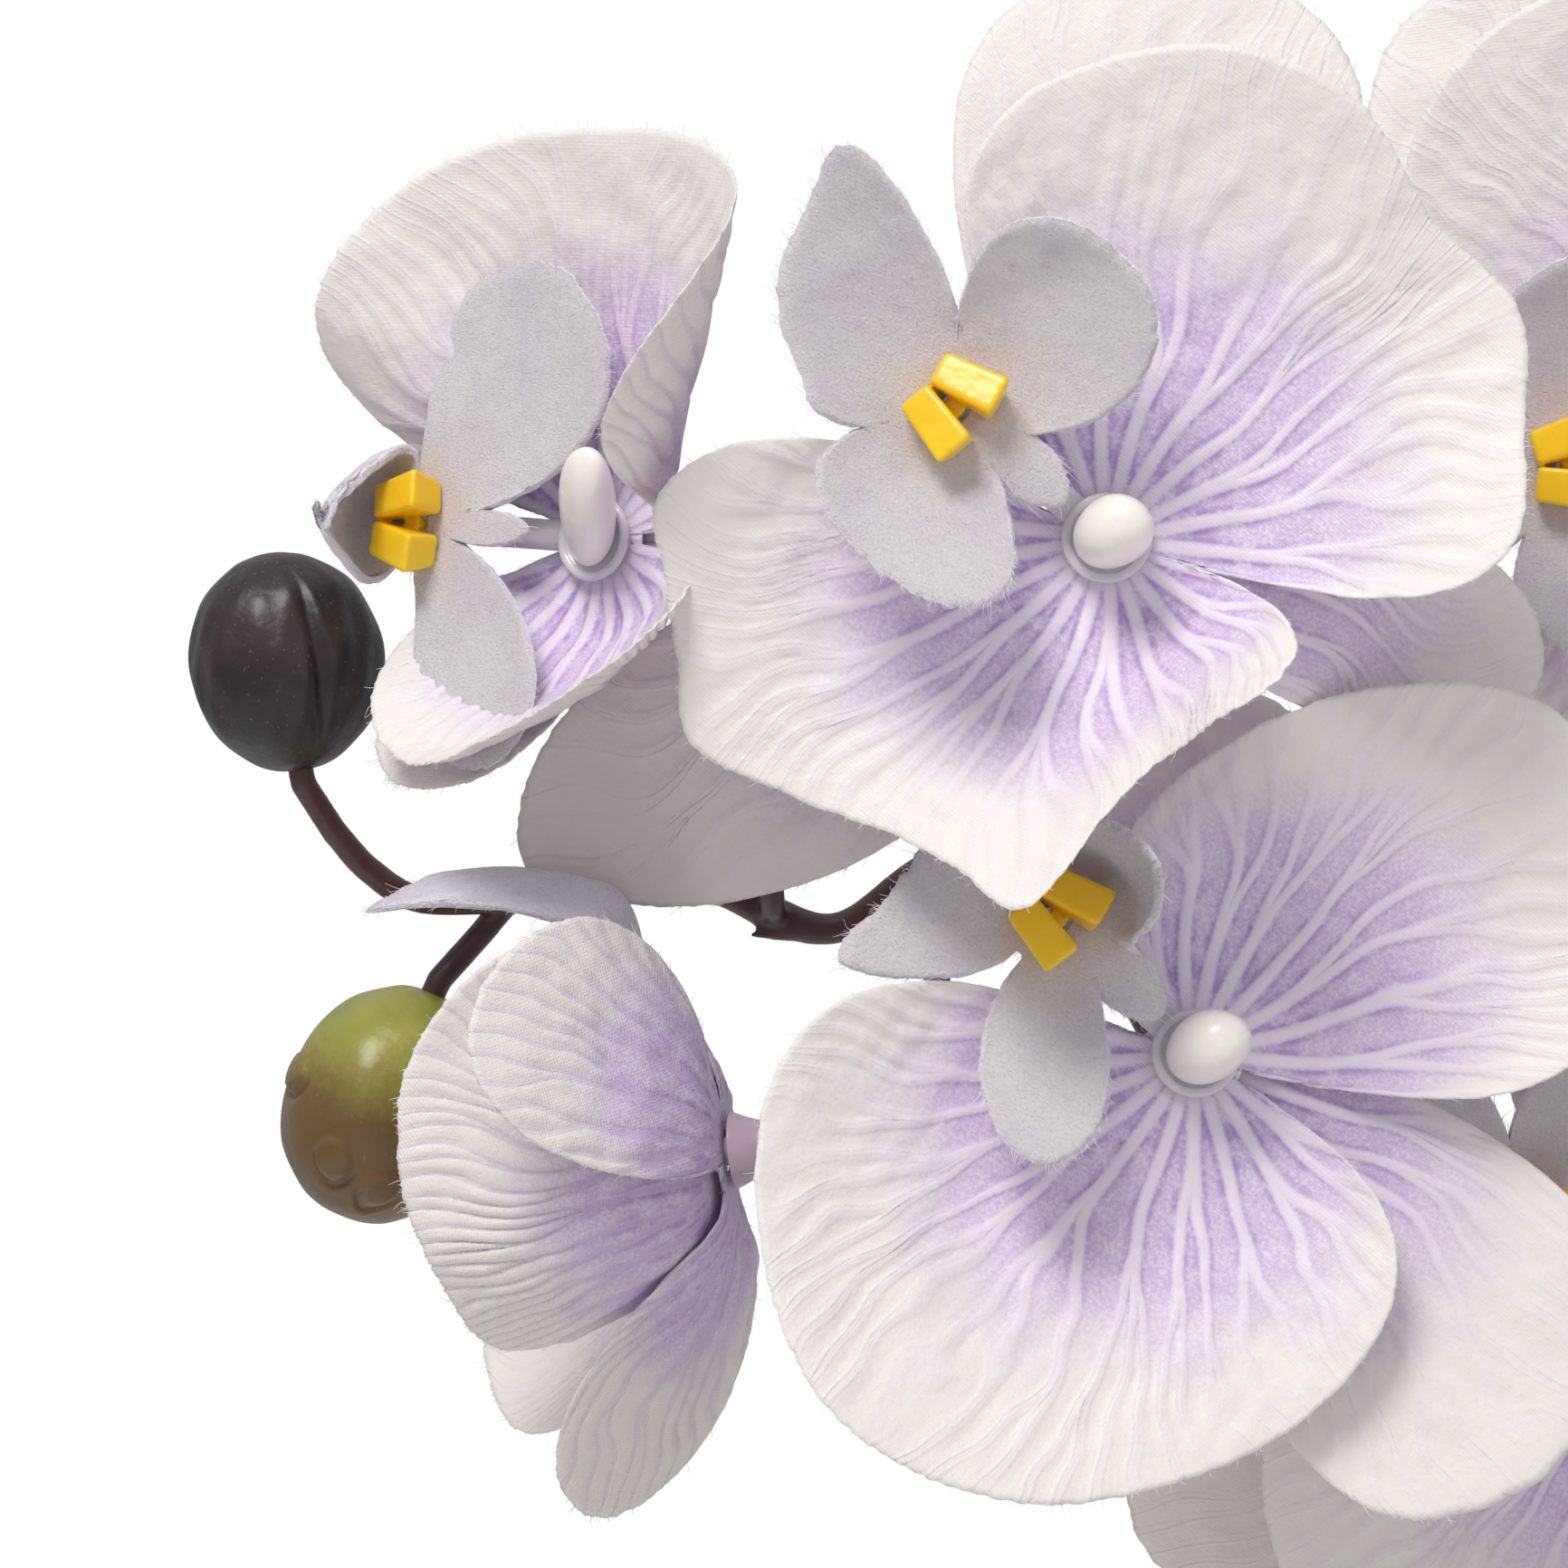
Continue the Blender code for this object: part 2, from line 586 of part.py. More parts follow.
def build_stem(materials, collection):
    stalk_depth = BUD_BORE_DEPTH - GAP
    upper, lower = BUDS
    path = smooth_path([Vector(point) * MM for point in STEM_ROUTE_MM], PER_SPAN)
    fork = path[BUD_FORK]
    path += [bud_end(upper, -1.5 * MM), bud_end(upper, stalk_depth)]
    radii = np.linspace(STEM_FOOT_RADIUS, STEM_TIP_RADIUS, len(path))
    stem = rod("main_stem", path, radii, collection, materials["stem"])

    stalks = []
    for flower in FLOWERS:
        frame = flower.frame()
        start, end = path[flower.joins], frame @ Vector((0, 0, SOCKET_END - 1.5 * MM))
        facing = frame.to_3x3() @ Vector((0, 0, 1))
        line = arc_path(start, Vector(flower.leave_mm) * MM, end, facing * STALK_LEAD, 6)
        line.append(frame @ Vector((0, 0, STALK_END)))
        radii = [STALK_RADIUS] * len(line)
        stalks.append(rod(f"{flower.name}_stalk", line, radii, collection, materials["stem"]))
    way = [Vector(point) * MM for point in BUD_ROUTE_MM]
    line = smooth_path([fork, *way, bud_end(lower, -1.5 * MM)], PER_SPAN)
    line.append(bud_end(lower, stalk_depth))
    stalks.append(rod("bud_stalk", line, [STALK_RADIUS] * len(line), collection, materials["stem"]))

    add_union(stem, stalks)
    mesh = taken_mesh(stem)
    for stalk in stalks:
        bpy.data.objects.remove(stalk)
    mesh.set_sharp_from_angle(angle=radians(40))
    new_object("main_stem", mesh, collection, materials["stem"])


# ------------------------------------------------------ pot, plug, bark, leaves


def inner_radius(height):
    """Radius of the inside of the pot at a height."""
    share = height / POT_HEIGHT
    return POT_FOOT_RADIUS + (POT_TOP_RADIUS - POT_FOOT_RADIUS) * share - POT_WALL


def build_pot(materials, collection):
    rim = 1.5 * MM
    pot = [
        (0, POT_FLOOR), (inner_radius(POT_FLOOR), POT_FLOOR), (inner_radius(POT_HEIGHT - rim), POT_HEIGHT - rim),
        (inner_radius(POT_HEIGHT) + rim, POT_HEIGHT), (POT_TOP_RADIUS - rim, POT_HEIGHT),
        (POT_TOP_RADIUS, POT_HEIGHT - rim), (POT_FOOT_RADIUS, 2 * rim), (POT_FOOT_RADIUS - 2 * rim, 0), (0, 0),
    ]
    turned("pot", pot, POT_STEPS, False, collection, materials["pot"])

    foot = POT_FLOOR + GAP
    plug = [
        (0, PLUG_HOLE_FLOOR), (STEM_BORE, PLUG_HOLE_FLOOR), (STEM_BORE, PLUG_TOP),
        (inner_radius(PLUG_TOP) - GAP, PLUG_TOP), (inner_radius(foot) - GAP, foot), (0, foot),
    ]
    turned("pot_filler", plug, POT_STEPS, False, collection, materials["filler"])

    under = PLUG_TOP + GAP
    inside = CROWN_RADIUS + GAP
    bark = [
        (inside, BARK_MIDDLE_TOP), (30 * MM, BARK_MIDDLE_TOP - 2 * MM),
        (inner_radius(BARK_EDGE_TOP) - 2 * GAP, BARK_EDGE_TOP), (inner_radius(under) - GAP, under), (inside, under),
    ]
    turned("bark_topping", bark, POT_STEPS, True, collection, materials["bark"])

    crown = [
        (STEM_BORE, CROWN_TOP), (CROWN_RADIUS - 3 * MM, CROWN_TOP - MM), (CROWN_RADIUS, CROWN_TOP - 5 * MM),
        (CROWN_RADIUS, under), (STEM_BORE, under),
    ]
    turned("leaf_crown", crown, CROWN_STEPS, True, collection, materials["leaf"])


@dataclass
class Leaf:
    """A strap leaf that grows from the crown."""

    name: str
    direction: float  # anticlockwise from +X, seen from above
    foot_mm: float  # height of its foot
    length_mm: float
    width_mm: float
    rise: float  # slope at its foot
    droop: float  # how far the slope falls by its tip


LEAVES = [
    Leaf("leaf_1", 12, 113, 175, 50, rise=34, droop=62),
    Leaf("leaf_2", 168, 116, 165, 48, rise=30, droop=56),
    Leaf("leaf_3", 88, 114, 140, 46, rise=40, droop=70),
    Leaf("leaf_4", 236, 115, 150, 48, rise=26, droop=54),
    Leaf("leaf_5", 304, 113, 158, 50, rise=32, droop=60),
]
LEAF_GRID = (9, 4)
LEAF_TIP_WIDTH = 3 * MM


def leaf_points(leaf, along, across):
    """Points of a leaf's middle surface. along runs from 0 to 1, and across from -1 to 1."""
    length = leaf.length_mm * MM
    start = CROWN_RADIUS + GAP + LEAF_THICKNESS
    steps = np.linspace(0, 1, 101)
    slope = np.radians(leaf.rise - leaf.droop * steps**1.3)
    out = np.concatenate([[0], np.cumsum(np.cos(slope[1:]))]) * length / 100
    up = np.concatenate([[0], np.cumsum(np.sin(slope[1:]))]) * length / 100
    widest = leaf.width_mm * MM
    opening = LEAF_FOOT_WIDTH + (widest - LEAF_FOOT_WIDTH) * ease(along / 0.45)
    closing = np.sqrt(1 - np.clip((along - 0.45) / 0.55, 0, 1) ** 3.2)
    half = np.maximum(opening * closing, LEAF_TIP_WIDTH) / 2
    fold = radians(24) * (1 - 0.5 * along)
    tilt = np.interp(along, steps, slope)
    rise = np.abs(across) ** 1.5 * half * np.sin(fold)
    x = start + np.interp(along, steps, out) - rise * np.sin(tilt)
    z = leaf.foot_mm * MM + np.interp(along, steps, up) + rise * np.cos(tilt)
    turn = radians(leaf.direction)
    y = across * half * np.cos(fold)
    return np.stack([x * cos(turn) - y * sin(turn), x * sin(turn) + y * cos(turn), z], axis=1)


def build_leaf(leaf, materials, collection):
    bm = bmesh.new()
    bmesh.ops.create_grid(bm, x_segments=LEAF_GRID[0], y_segments=LEAF_GRID[1], size=1)
    along = np.array([(vert.co.x + 1) / 2 for vert in bm.verts])
    across = np.array([vert.co.y for vert in bm.verts])
    for vert, point in zip(bm.verts, leaf_points(leaf, along, across)):
        vert.co = point
    made = new_object(leaf.name, mesh_from(bm, leaf.name), collection, materials["leaf"])
    wall = made.modifiers.new("Thickness", "SOLIDIFY")
    wall.thickness = LEAF_THICKNESS
    wall.offset = 0


def main():
    clear_scene()
    collection = new_collection("potted_orchid")
    cutters = new_collection("cutters", hidden=True)
    materials = {
        "cloth": new_material("cloth", (0.80, 0.74, 0.80), 0.75),
        "velvet": new_material("velvet", (0.78, 0.72, 0.80), 0.65),
        "column": new_material("white_plastic", (0.86, 0.84, 0.80), 0.35),
        "callus": new_material("yellow_plastic", (0.95, 0.62, 0.02), 0.35),
        "socket": new_material("mauve_plastic", (0.52, 0.40, 0.52), 0.45),
        "stem": new_material("maroon_plastic", (0.10, 0.035, 0.04), 0.40),
        "bud_upper": new_material("dark_plastic", (0.035, 0.02, 0.025), 0.40),
        "bud_lower": new_material("olive_plastic", (0.24, 0.19, 0.04), 0.40),
        "leaf": new_material("green_plastic", (0.07, 0.17, 0.05), 0.40),
        "bark": new_material("bark", (0.16, 0.09, 0.05), 0.90),
        "filler": new_material("set_filler", (0.45, 0.43, 0.40), 0.90),
        "pot": new_material("cream_ceramic", (0.86, 0.82, 0.76), 0.30),
    }
    moulded = {
        "callus": callus_mesh(cutters, materials["callus"]),
        "column": column_mesh(cutters, materials["column"]),
        "socket": socket_mesh(cutters, materials["socket"]),
    }
    for flower in FLOWERS:
        build_flower(flower, moulded, materials, collection)
    build_stem(materials, collection)
    for bud in BUDS:
        build_bud(bud, materials, collection)
    build_pot(materials, collection)
    for leaf in LEAVES:
        build_leaf(leaf, materials, collection)


main()
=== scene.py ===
"""Looks of the potted artificial moth orchid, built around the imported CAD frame.

Lengths are in metres unless a name ends in _mm, and angles are in degrees. A flower's own frame is read
from its CAD socket, column and callus: the origin is where the cloth layers meet, +X runs towards the lip and
+Z is the way that the flower faces. Every cloth layer is a thin shell with two sides, pressed to shape from
its flat cut. It carries these attributes:
  flat  its place in the flat cut, in millimetres
  vein  the stripe that it lies in, its distance from the hub in millimetres, and its share of the way out
  side  0 on the front and 1 on the back
"""

from dataclasses import dataclass, replace
from math import cos, pi, radians, sin

import bmesh
import bpy
import numpy as np
from mathutils import Matrix, Vector, noise


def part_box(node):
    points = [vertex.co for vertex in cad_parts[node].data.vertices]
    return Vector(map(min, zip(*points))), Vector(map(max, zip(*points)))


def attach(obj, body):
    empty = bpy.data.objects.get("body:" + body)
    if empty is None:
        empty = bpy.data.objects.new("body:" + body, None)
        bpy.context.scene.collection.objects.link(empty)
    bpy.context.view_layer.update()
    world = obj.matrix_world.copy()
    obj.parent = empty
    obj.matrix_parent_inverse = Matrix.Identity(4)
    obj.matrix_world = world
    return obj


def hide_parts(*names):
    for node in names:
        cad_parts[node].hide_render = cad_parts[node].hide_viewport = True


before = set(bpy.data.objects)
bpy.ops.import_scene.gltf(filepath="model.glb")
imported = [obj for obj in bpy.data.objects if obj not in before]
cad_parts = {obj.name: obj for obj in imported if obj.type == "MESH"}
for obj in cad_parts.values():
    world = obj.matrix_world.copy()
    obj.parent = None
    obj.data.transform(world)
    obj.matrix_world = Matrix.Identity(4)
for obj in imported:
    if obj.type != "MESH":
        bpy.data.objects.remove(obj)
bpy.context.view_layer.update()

MM = 0.001
ROOT = "root"

# Cloth layers, in a flower's own frame
HUB = 4.5 * MM
PIN_HOLE = 2.0 * MM
SEPAL_LEVEL = -0.6 * MM
PETAL_LEVEL = 0.45 * MM
CLOTH = 0.3 * MM
LIP_REACH = 17 * MM
LIP_LEVEL = 6.0 * MM
LIP_HUB = 4.4 * MM
LIP_HOLE = 1.3 * MM
VELVET = 0.9 * MM
SOCKET_TOP = -1.2 * MM

# Veins
STRIPES = 3.4  # main veins to a radian
VEIN_HALF_MM = 0.52
RIDGE = 0.23 * MM
PUCKER = 0.20 * MM

# Stem
STEM_FOOT_RADIUS = 2.3 * MM
STEM_TIP_RADIUS = 1.4 * MM
STALK_RADIUS = 1.4 * MM
SOCKET_END = -10 * MM
STALK_END = -5.0 * MM
STALK_LEAD = 9 * MM

# Leaves
LEAF_THICKNESS = 1.8 * MM
LEAF_FOOT_WIDTH = 8 * MM
LEAF_TIP_WIDTH = 3 * MM

# Pot, bark and floor
POT_FOOT_MM = 46
POT_WALL_MM = 5
POT_FLOOR_MM = 6
BARK_CHIPS = 190
CHIP_MM = (9.5, 6.0, 3.2)
FLOOR_RADIUS = 1.3

# Callus blocks
BLOCK_LENGTH = 5.6 * MM
BLOCK_ASIDE = 1.35 * MM
BLOCK_SPLAY = 11
BLOCK_TILT = 9

# Camera
CAMERA_DISTANCE = 0.65
FRAME_WIDTH = 0.1443
FRAME_MIDDLE = (-0.155, 0.385)  # X and Z
SENSOR_MM = 36


# ------------------------------------------------- arithmetic on numbers or nodes


class Field:
    """A number at each point of a surface, as a node socket. Arithmetic on it adds Math nodes."""

    def __init__(self, tree, socket):
        self.tree, self.socket = tree, socket

    def math(self, operation, *others):
        node = self.tree.nodes.new("ShaderNodeMath")
        node.operation = operation
        for slot, value in zip(node.inputs, (self, *others)):
            if isinstance(value, Field):
                self.tree.links.new(value.socket, slot)
            else:
                slot.default_value = float(value)
        return Field(self.tree, node.outputs[0])

    def __add__(self, other):
        return self.math("ADD", other)

    def __sub__(self, other):
        return self.math("SUBTRACT", other)

    def __mul__(self, other):
        return self.math("MULTIPLY", other)

    def __truediv__(self, other):
        return self.math("DIVIDE", other)

    def __rsub__(self, other):
        return self.math("MULTIPLY", -1).math("ADD", other)

    __radd__, __rmul__ = __add__, __mul__


def sine(x):
    return x.math("SINE") if isinstance(x, Field) else np.sin(x)


def whole(x):
    return x.math("FLOOR") if isinstance(x, Field) else np.floor(x)


def size(x):
    return x.math("ABSOLUTE") if isinstance(x, Field) else np.abs(x)


def ramp(x, low, high):
    """0 below low, 1 above high, and a smooth step between."""
    t = (x - low) / (high - low)
    if isinstance(t, Field):
        t = t.math("MAXIMUM", 0).math("MINIMUM", 1)
    else:
        t = np.clip(t, 0, 1)
    return t * t * (3 - 2 * t)


def vein_pattern(stripe, r_mm, share):
    """Distances in mm from the main veins, which fork twice on their way out, and from the fine ones."""
    number = whole(stripe)
    inside = stripe - number - 0.5
    half = inside * 60
    side = half / (size(half) + 1)
    first = 0.22 + 0.15 * sine(number * 2.4 + 0.5)
    second = 0.48 + 0.15 * sine(number * 3.7 + side * 1.9)
    third = 0.70 + 0.10 * sine(number * 5.1 + side * 2.6)
    a = size(size(inside) - 0.25 * ramp(share, first, first + 0.36))
    b = size(a - 0.125 * ramp(share, second, second + 0.34))
    c = size(b - 0.0625 * ramp(share, third, third + 0.25))
    width = r_mm / STRIPES
    return b * width, c * width


# --------------------------------------------------------------- small numpy tools


def smooth_noise(x, y, scale, seed):
    """Smooth noise of about -1 to 1 over a plane, from a few crossed waves."""
    draw = np.random.default_rng(seed)
    total = np.zeros_like(x)
    for _ in range(7):
        turn, phase = draw.uniform(0, 2 * pi, 2)
        pitch = scale * draw.uniform(0.6, 1.5)
        total = total + np.sin((x * cos(turn) + y * sin(turn)) * 2 * pi / pitch + phase)
    return total / 3.2


def wrapped(angle):
    return (angle + pi) % (2 * pi) - pi


def spread_out(values, share):
    """A smooth curve through the values, which stand at even steps of share from -1 to 1."""
    if len(values) == 1:
        return np.full(np.shape(share), float(values[0]))
    knots = np.array([2 * values[0] - values[1], *values, 2 * values[-1] - values[-2]], dtype=float)
    place = (np.clip(share, -1, 1) + 1) / 2 * (len(values) - 1)
    k = np.minimum(place.astype(int), len(values) - 2)
    t = place - k
    a, b, c, d = knots[k], knots[k + 1], knots[k + 2], knots[k + 3]
    return 0.5 * (2 * b + (c - a) * t + (2 * a - 5 * b + 4 * c - d) * t**2 + (3 * b - a - 3 * c + d) * t**3)


def smooth_path(points, per_span):
    """Points of a Catmull-Rom curve through the given ones."""
    ends = [2 * points[0] - points[1], *points, 2 * points[-1] - points[-2]]
    path = []
    for a, b, c, d in zip(ends, ends[1:], ends[2:], ends[3:]):
        for k in range(per_span):
            t = k / per_span
            bend = (2 * a - 5 * b + 4 * c - d) * t**2 + (3 * b - a - 3 * c + d) * t**3
            path.append(0.5 * (2 * b + (c - a) * t + bend))
    return [*path, points[-1]]


def arc_path(start, leave, end, arrive, count):
    """Points of a cubic curve that leaves start and arrives at end along the given vectors."""
    a, b, c, d = start, start + leave, end - arrive, end
    shares = [k / count for k in range(count + 1)]
    return [a * (1 - t) ** 3 + 3 * b * t * (1 - t) ** 2 + 3 * c * t**2 * (1 - t) + d * t**3 for t in shares]


# -------------------------------------------------------------------- materials


class Paint:
    """A Principled material, with short ways to add nodes to it."""

    def __init__(self, name, roughness, **constants):
        self.made = bpy.data.materials.new(name)
        self.made.use_nodes = True
        self.tree = self.made.node_tree
        self.shader = self.tree.nodes["Principled BSDF"]
        self.shader.inputs["Roughness"].default_value = roughness
        for key, value in constants.items():
            self.shader.inputs[key.replace("_", " ")].default_value = value

    def link(self, value, slot):
        if isinstance(value, Field):
            self.tree.links.new(value.socket, slot)
        elif isinstance(value, bpy.types.NodeSocket):
            self.tree.links.new(value, slot)
        elif isinstance(value, tuple) and slot.type == "RGBA":
            slot.default_value = (*value, 1)
        else:
            slot.default_value = value

    def field(self, socket):
        return Field(self.tree, socket)

    def place(self):
        return self.tree.nodes.new("ShaderNodeTexCoord").outputs["Object"]

    def attribute(self, name):
        node = self.tree.nodes.new("ShaderNodeAttribute")
        node.attribute_name = name
        return node

    def number(self, name):
        return self.field(self.attribute(name).outputs["Fac"])

    def vector(self, name):
        return self.attribute(name).outputs["Vector"]

    def parts(self, vector):
        node = self.tree.nodes.new("ShaderNodeSeparateXYZ")
        self.link(vector, node.inputs[0])
        return [self.field(output) for output in node.outputs]

    def scaled(self, vector, factors):
        node = self.tree.nodes.new("ShaderNodeVectorMath")
        node.operation = "MULTIPLY"
        self.link(vector, node.inputs[0])
        node.inputs[1].default_value = factors
        return node.outputs[0]

    def noise(self, vector, scale, detail=2, roughness=0.5):
        node = self.tree.nodes.new("ShaderNodeTexNoise")
        self.link(vector, node.inputs["Vector"])
        for key, value in (("Scale", scale), ("Detail", detail), ("Roughness", roughness)):
            node.inputs[key].default_value = value
        return self.field(node.outputs["Fac"])

    def cells(self, vector, scale):
        """A random number for each cell, and the distance from the cell's middle."""
        node = self.tree.nodes.new("ShaderNodeTexVoronoi")
        self.link(vector, node.inputs["Vector"])
        node.inputs["Scale"].default_value = scale
        grey = self.tree.nodes.new("ShaderNodeSeparateColor")
        self.tree.links.new(node.outputs["Color"], grey.inputs[0])
        return self.field(grey.outputs[0]), self.field(node.outputs["Distance"])

    def mix(self, share, a, b):
        node = self.tree.nodes.new("ShaderNodeMix")
        node.data_type = "RGBA"
        self.link(share, node.inputs["Factor"])
        self.link(a, node.inputs[6])
        self.link(b, node.inputs[7])
        return node.outputs[2]

    def bump(self, *layers):
        """Layers of (height, distance), from the coarsest to the finest."""
        normal = None
        for height, distance in layers:
            node = self.tree.nodes.new("ShaderNodeBump")
            node.inputs["Distance"].default_value = distance
            self.link(height, node.inputs["Height"])
            if normal is not None:
                self.tree.links.new(normal, node.inputs["Normal"])
            normal = node.outputs[0]
        self.tree.links.new(normal, self.shader.inputs["Normal"])

    def finish(self, colour, roughness=None):
        self.link(colour, self.shader.inputs["Base Color"])
        if roughness is not None:
            self.link(roughness, self.shader.inputs["Roughness"])
        return self.made


OFF_WHITE = (0.82, 0.775, 0.745)
PALE_LILAC = (0.76, 0.68, 0.82)
LILAC = (0.55, 0.42, 0.70)
# Lilac beside the veins: dye that gathers there, deepened with painted shade at the foot of the raised veins.
SHADE_AND_DYE_LILAC = (0.37, 0.24, 0.55)
VEIN_COLOUR = (0.83, 0.745, 0.84)


def weave(paint, flat, pitch_mm):
    x, y, _ = paint.parts(flat)
    step = 2 * pi / pitch_mm
    return (0.5 + 0.5 * sine(y * step)) * (0.7 + 0.3 * sine(x * step))


def cloth_paint():
    """Starched cloth: off-white at the margin, dyed lilac in blotches between pale raised veins. Darker lilac beside
    the veins is dye with painted shade, and the vein grooves on the back carry painted shade.
    """
    paint = Paint("petal_cloth", 0.58, Sheen_Weight=0.25, Sheen_Roughness=0.45, Specular_IOR_Level=0.35,
                  Subsurface_Weight=0.12, Subsurface_Scale=0.001)
    flat = paint.vector("flat")
    stripe, r_mm, share = paint.parts(paint.vector("vein"))
    back = paint.number("side")
    main, fine = vein_pattern(stripe, r_mm, share)
    half = VEIN_HALF_MM * (1.15 - 0.5 * share)
    vein = 1 - ramp(main, 0.35 * half, 1.25 * half)
    fine_vein = 1 - ramp(fine, 0.20 * half, 1.0 * half)
    # Beside the main veins, where dye gathers and painted shade falls at the foot of each raised vein.
    beside = ramp(main, 0.7 * half, 1.3 * half) * (1 - ramp(main, 1.4 * half, 2.6 * half))

    blotch = paint.noise(flat, 0.10, detail=3, roughness=0.6)
    patch = paint.noise(flat, 0.45, detail=3, roughness=0.6)
    speckle = paint.noise(flat, 2.4, detail=3, roughness=0.75)
    reach = share + 0.42 * (blotch - 0.5) + 0.14 * (patch - 0.5)
    zone = 1 - ramp(reach, 0.38, 0.80)
    dye = zone * ramp(speckle + 0.35 * (patch - 0.5), 0.30, 0.66)

    colour = paint.mix(zone * 0.85, OFF_WHITE, PALE_LILAC)
    colour = paint.mix(dye * 0.85, colour, LILAC)
    # Painted shade with dye beside the veins, strongest near the column and in patches.
    near = 1 - ramp(share, 0.15, 0.62)
    gate = ramp(patch, 0.38, 0.60)
    colour = paint.mix(beside * zone * (0.12 + 0.6 * near * gate), colour, SHADE_AND_DYE_LILAC)
    front = 1 - back
    colour = paint.mix(vein * (0.30 + 0.62 * front) * (0.25 + 0.75 * zone), colour, VEIN_COLOUR)
    colour = paint.mix(fine_vein * front * zone * 0.35, colour, VEIN_COLOUR)
    # Painted shade: the veins are grooves on the back, and are darkened towards lilac there.
    colour = paint.mix(back * vein * (0.25 + 0.35 * zone), colour, LILAC)
    threads = weave(paint, flat, 0.30)
    facing = front - back
    paint.bump(
        ((vein * 0.8 + fine_vein * 0.25) * facing, 0.07 * MM),
        (paint.noise(flat, 1.3, detail=3), 0.10 * MM),
        (threads * (0.35 + 0.65 * back), 0.035 * MM),
    )
    return paint.finish(colour, 0.62 - 0.14 * speckle)


def velvet_paint():
    """Velvet: a short sparkling nap, tinted warm round the callus and lilac in patches, with painted glints in light
    specks and painted shade between the hairs.
    """
    paint = Paint("lip_velvet", 0.5, Sheen_Weight=0.7, Sheen_Roughness=0.3, Specular_IOR_Level=0.5,
                  Subsurface_Weight=0.12, Subsurface_Scale=0.001)
    flat = paint.vector("flat")
    _, r_mm, _ = paint.parts(paint.vector("vein"))
    back = paint.number("side")
    cloud = paint.noise(flat, 0.11, detail=3)
    colour = paint.mix(ramp(cloud, 0.36, 0.70), (0.93, 0.895, 0.90), (0.84, 0.78, 0.88))
    warm = 1 - ramp(r_mm + 7 * (paint.noise(flat, 0.22) - 0.5), 1.5, 9.5)
    colour = paint.mix(warm * 0.40, colour, (0.86, 0.64, 0.50))
    tone, middle = paint.cells(flat, 3.6)
    # Painted glints: lighter specks in random cells of the nap; the brightest cells also get a lower roughness.
    colour = paint.mix(ramp(tone, 0.55, 1.0) * 0.35, colour, (0.93, 0.91, 0.93))
    colour = paint.mix(back * 0.5, colour, (0.74, 0.68, 0.84))
    hairs = paint.noise(paint.scaled(flat, (1.0, 2.2, 1.0)), 2.6, detail=4, roughness=0.7)
    # Painted shade between the nap hairs: darker where the hair bump is low.
    colour = paint.mix((1 - ramp(hairs, 0.36, 0.60)) * 0.40, colour, (0.66, 0.60, 0.72))
    front = 1 - back
    paint.bump(
        (paint.noise(flat, 0.8, detail=3), 0.20 * MM),
        (hairs * (0.3 + 0.7 * front), 0.42 * MM),
        (middle * front + weave(paint, flat, 0.45) * back, 0.05 * MM),
    )
    return paint.finish(colour, 0.62 - 0.42 * ramp(tone, 0.72, 0.95))


def plastic_paint(name, colour, second, roughness, grain=0.05, scale=400, **constants):
    """Moulded plastic: two close tones in soft clouds, and a faint orange-peel skin."""
    paint = Paint(name, roughness, **constants)
    place = paint.place()
    cloud = paint.noise(place, scale * 0.35, detail=3)
    skin = paint.noise(place, scale * 3, detail=2)
    paint.bump((paint.noise(place, scale, detail=2), grain * MM * 2), (skin, grain * MM * 0.4))
    return paint.finish(paint.mix(ramp(cloud, 0.35, 0.65), colour, second), roughness - 0.08 + 0.16 * cloud)


def dark_bud_paint():
    paint = Paint("dark_bud", 0.42, Coat_Weight=0.15, Coat_Roughness=0.3)
    place = paint.place()
    cloud = paint.noise(place, 110, detail=4)
    dust, _ = paint.cells(place, 5200)
    fleck = ramp(dust, 0.975, 0.995)
    colour = paint.mix(ramp(cloud, 0.38, 0.66), (0.010, 0.005, 0.006), (0.026, 0.012, 0.012))
    colour = paint.mix(fleck * 0.3, colour, (0.22, 0.16, 0.13))
    skin = paint.noise(place, 1900, detail=2)
    paint.bump((paint.noise(place, 260, detail=3), 0.35 * MM), (skin, 0.03 * MM))
    return paint.finish(colour, 0.30 + 0.25 * cloud)


def olive_bud_paint():
    """Green at the stalk's end, washed over with brown towards the tip."""
    paint = Paint("olive_bud", 0.40, Coat_Weight=0.3, Coat_Roughness=0.25)
    place = paint.place()
    _, _, height = paint.parts(place)
    cloud = paint.noise(place, 120, detail=4, roughness=0.6)
    grit = paint.noise(place, 1100, detail=3, roughness=0.7)
    wash = ramp(height * 90 + 1.1 * (cloud - 0.5) + 0.35 * (grit - 0.5), -0.62, 0.35)
    colour = paint.mix(ramp(cloud, 0.3, 0.7), (0.25, 0.27, 0.030), (0.36, 0.35, 0.05))
    colour = paint.mix(wash, colour, (0.13, 0.070, 0.016))
    colour = paint.mix(ramp(grit, 0.62, 0.8) * 0.5, colour, (0.36, 0.24, 0.04))
    paint.bump((paint.noise(place, 240, detail=3), 0.35 * MM), (grit, 0.05 * MM))
    return paint.finish(colour, 0.32 + 0.25 * cloud)


def stem_paint():
    paint = Paint("maroon_stem", 0.4, Coat_Weight=0.15, Coat_Roughness=0.3)
    place = paint.place()
    cloud = paint.noise(place, 160, detail=3)
    streak = paint.noise(paint.scaled(place, (1, 1, 0.25)), 900, detail=3)
    _, _, height = paint.parts(place)
    green = 1 - ramp(height + 0.05 * (cloud - 0.5), 0.16, 0.34)
    colour = paint.mix(ramp(cloud, 0.35, 0.65), (0.050, 0.014, 0.016), (0.085, 0.030, 0.030))
    colour = paint.mix(green, colour, paint.mix(cloud, (0.09, 0.16, 0.04), (0.16, 0.20, 0.06)))
    paint.bump((cloud, 0.4 * MM), (streak, 0.06 * MM))
    return paint.finish(colour, 0.34 + 0.2 * streak)


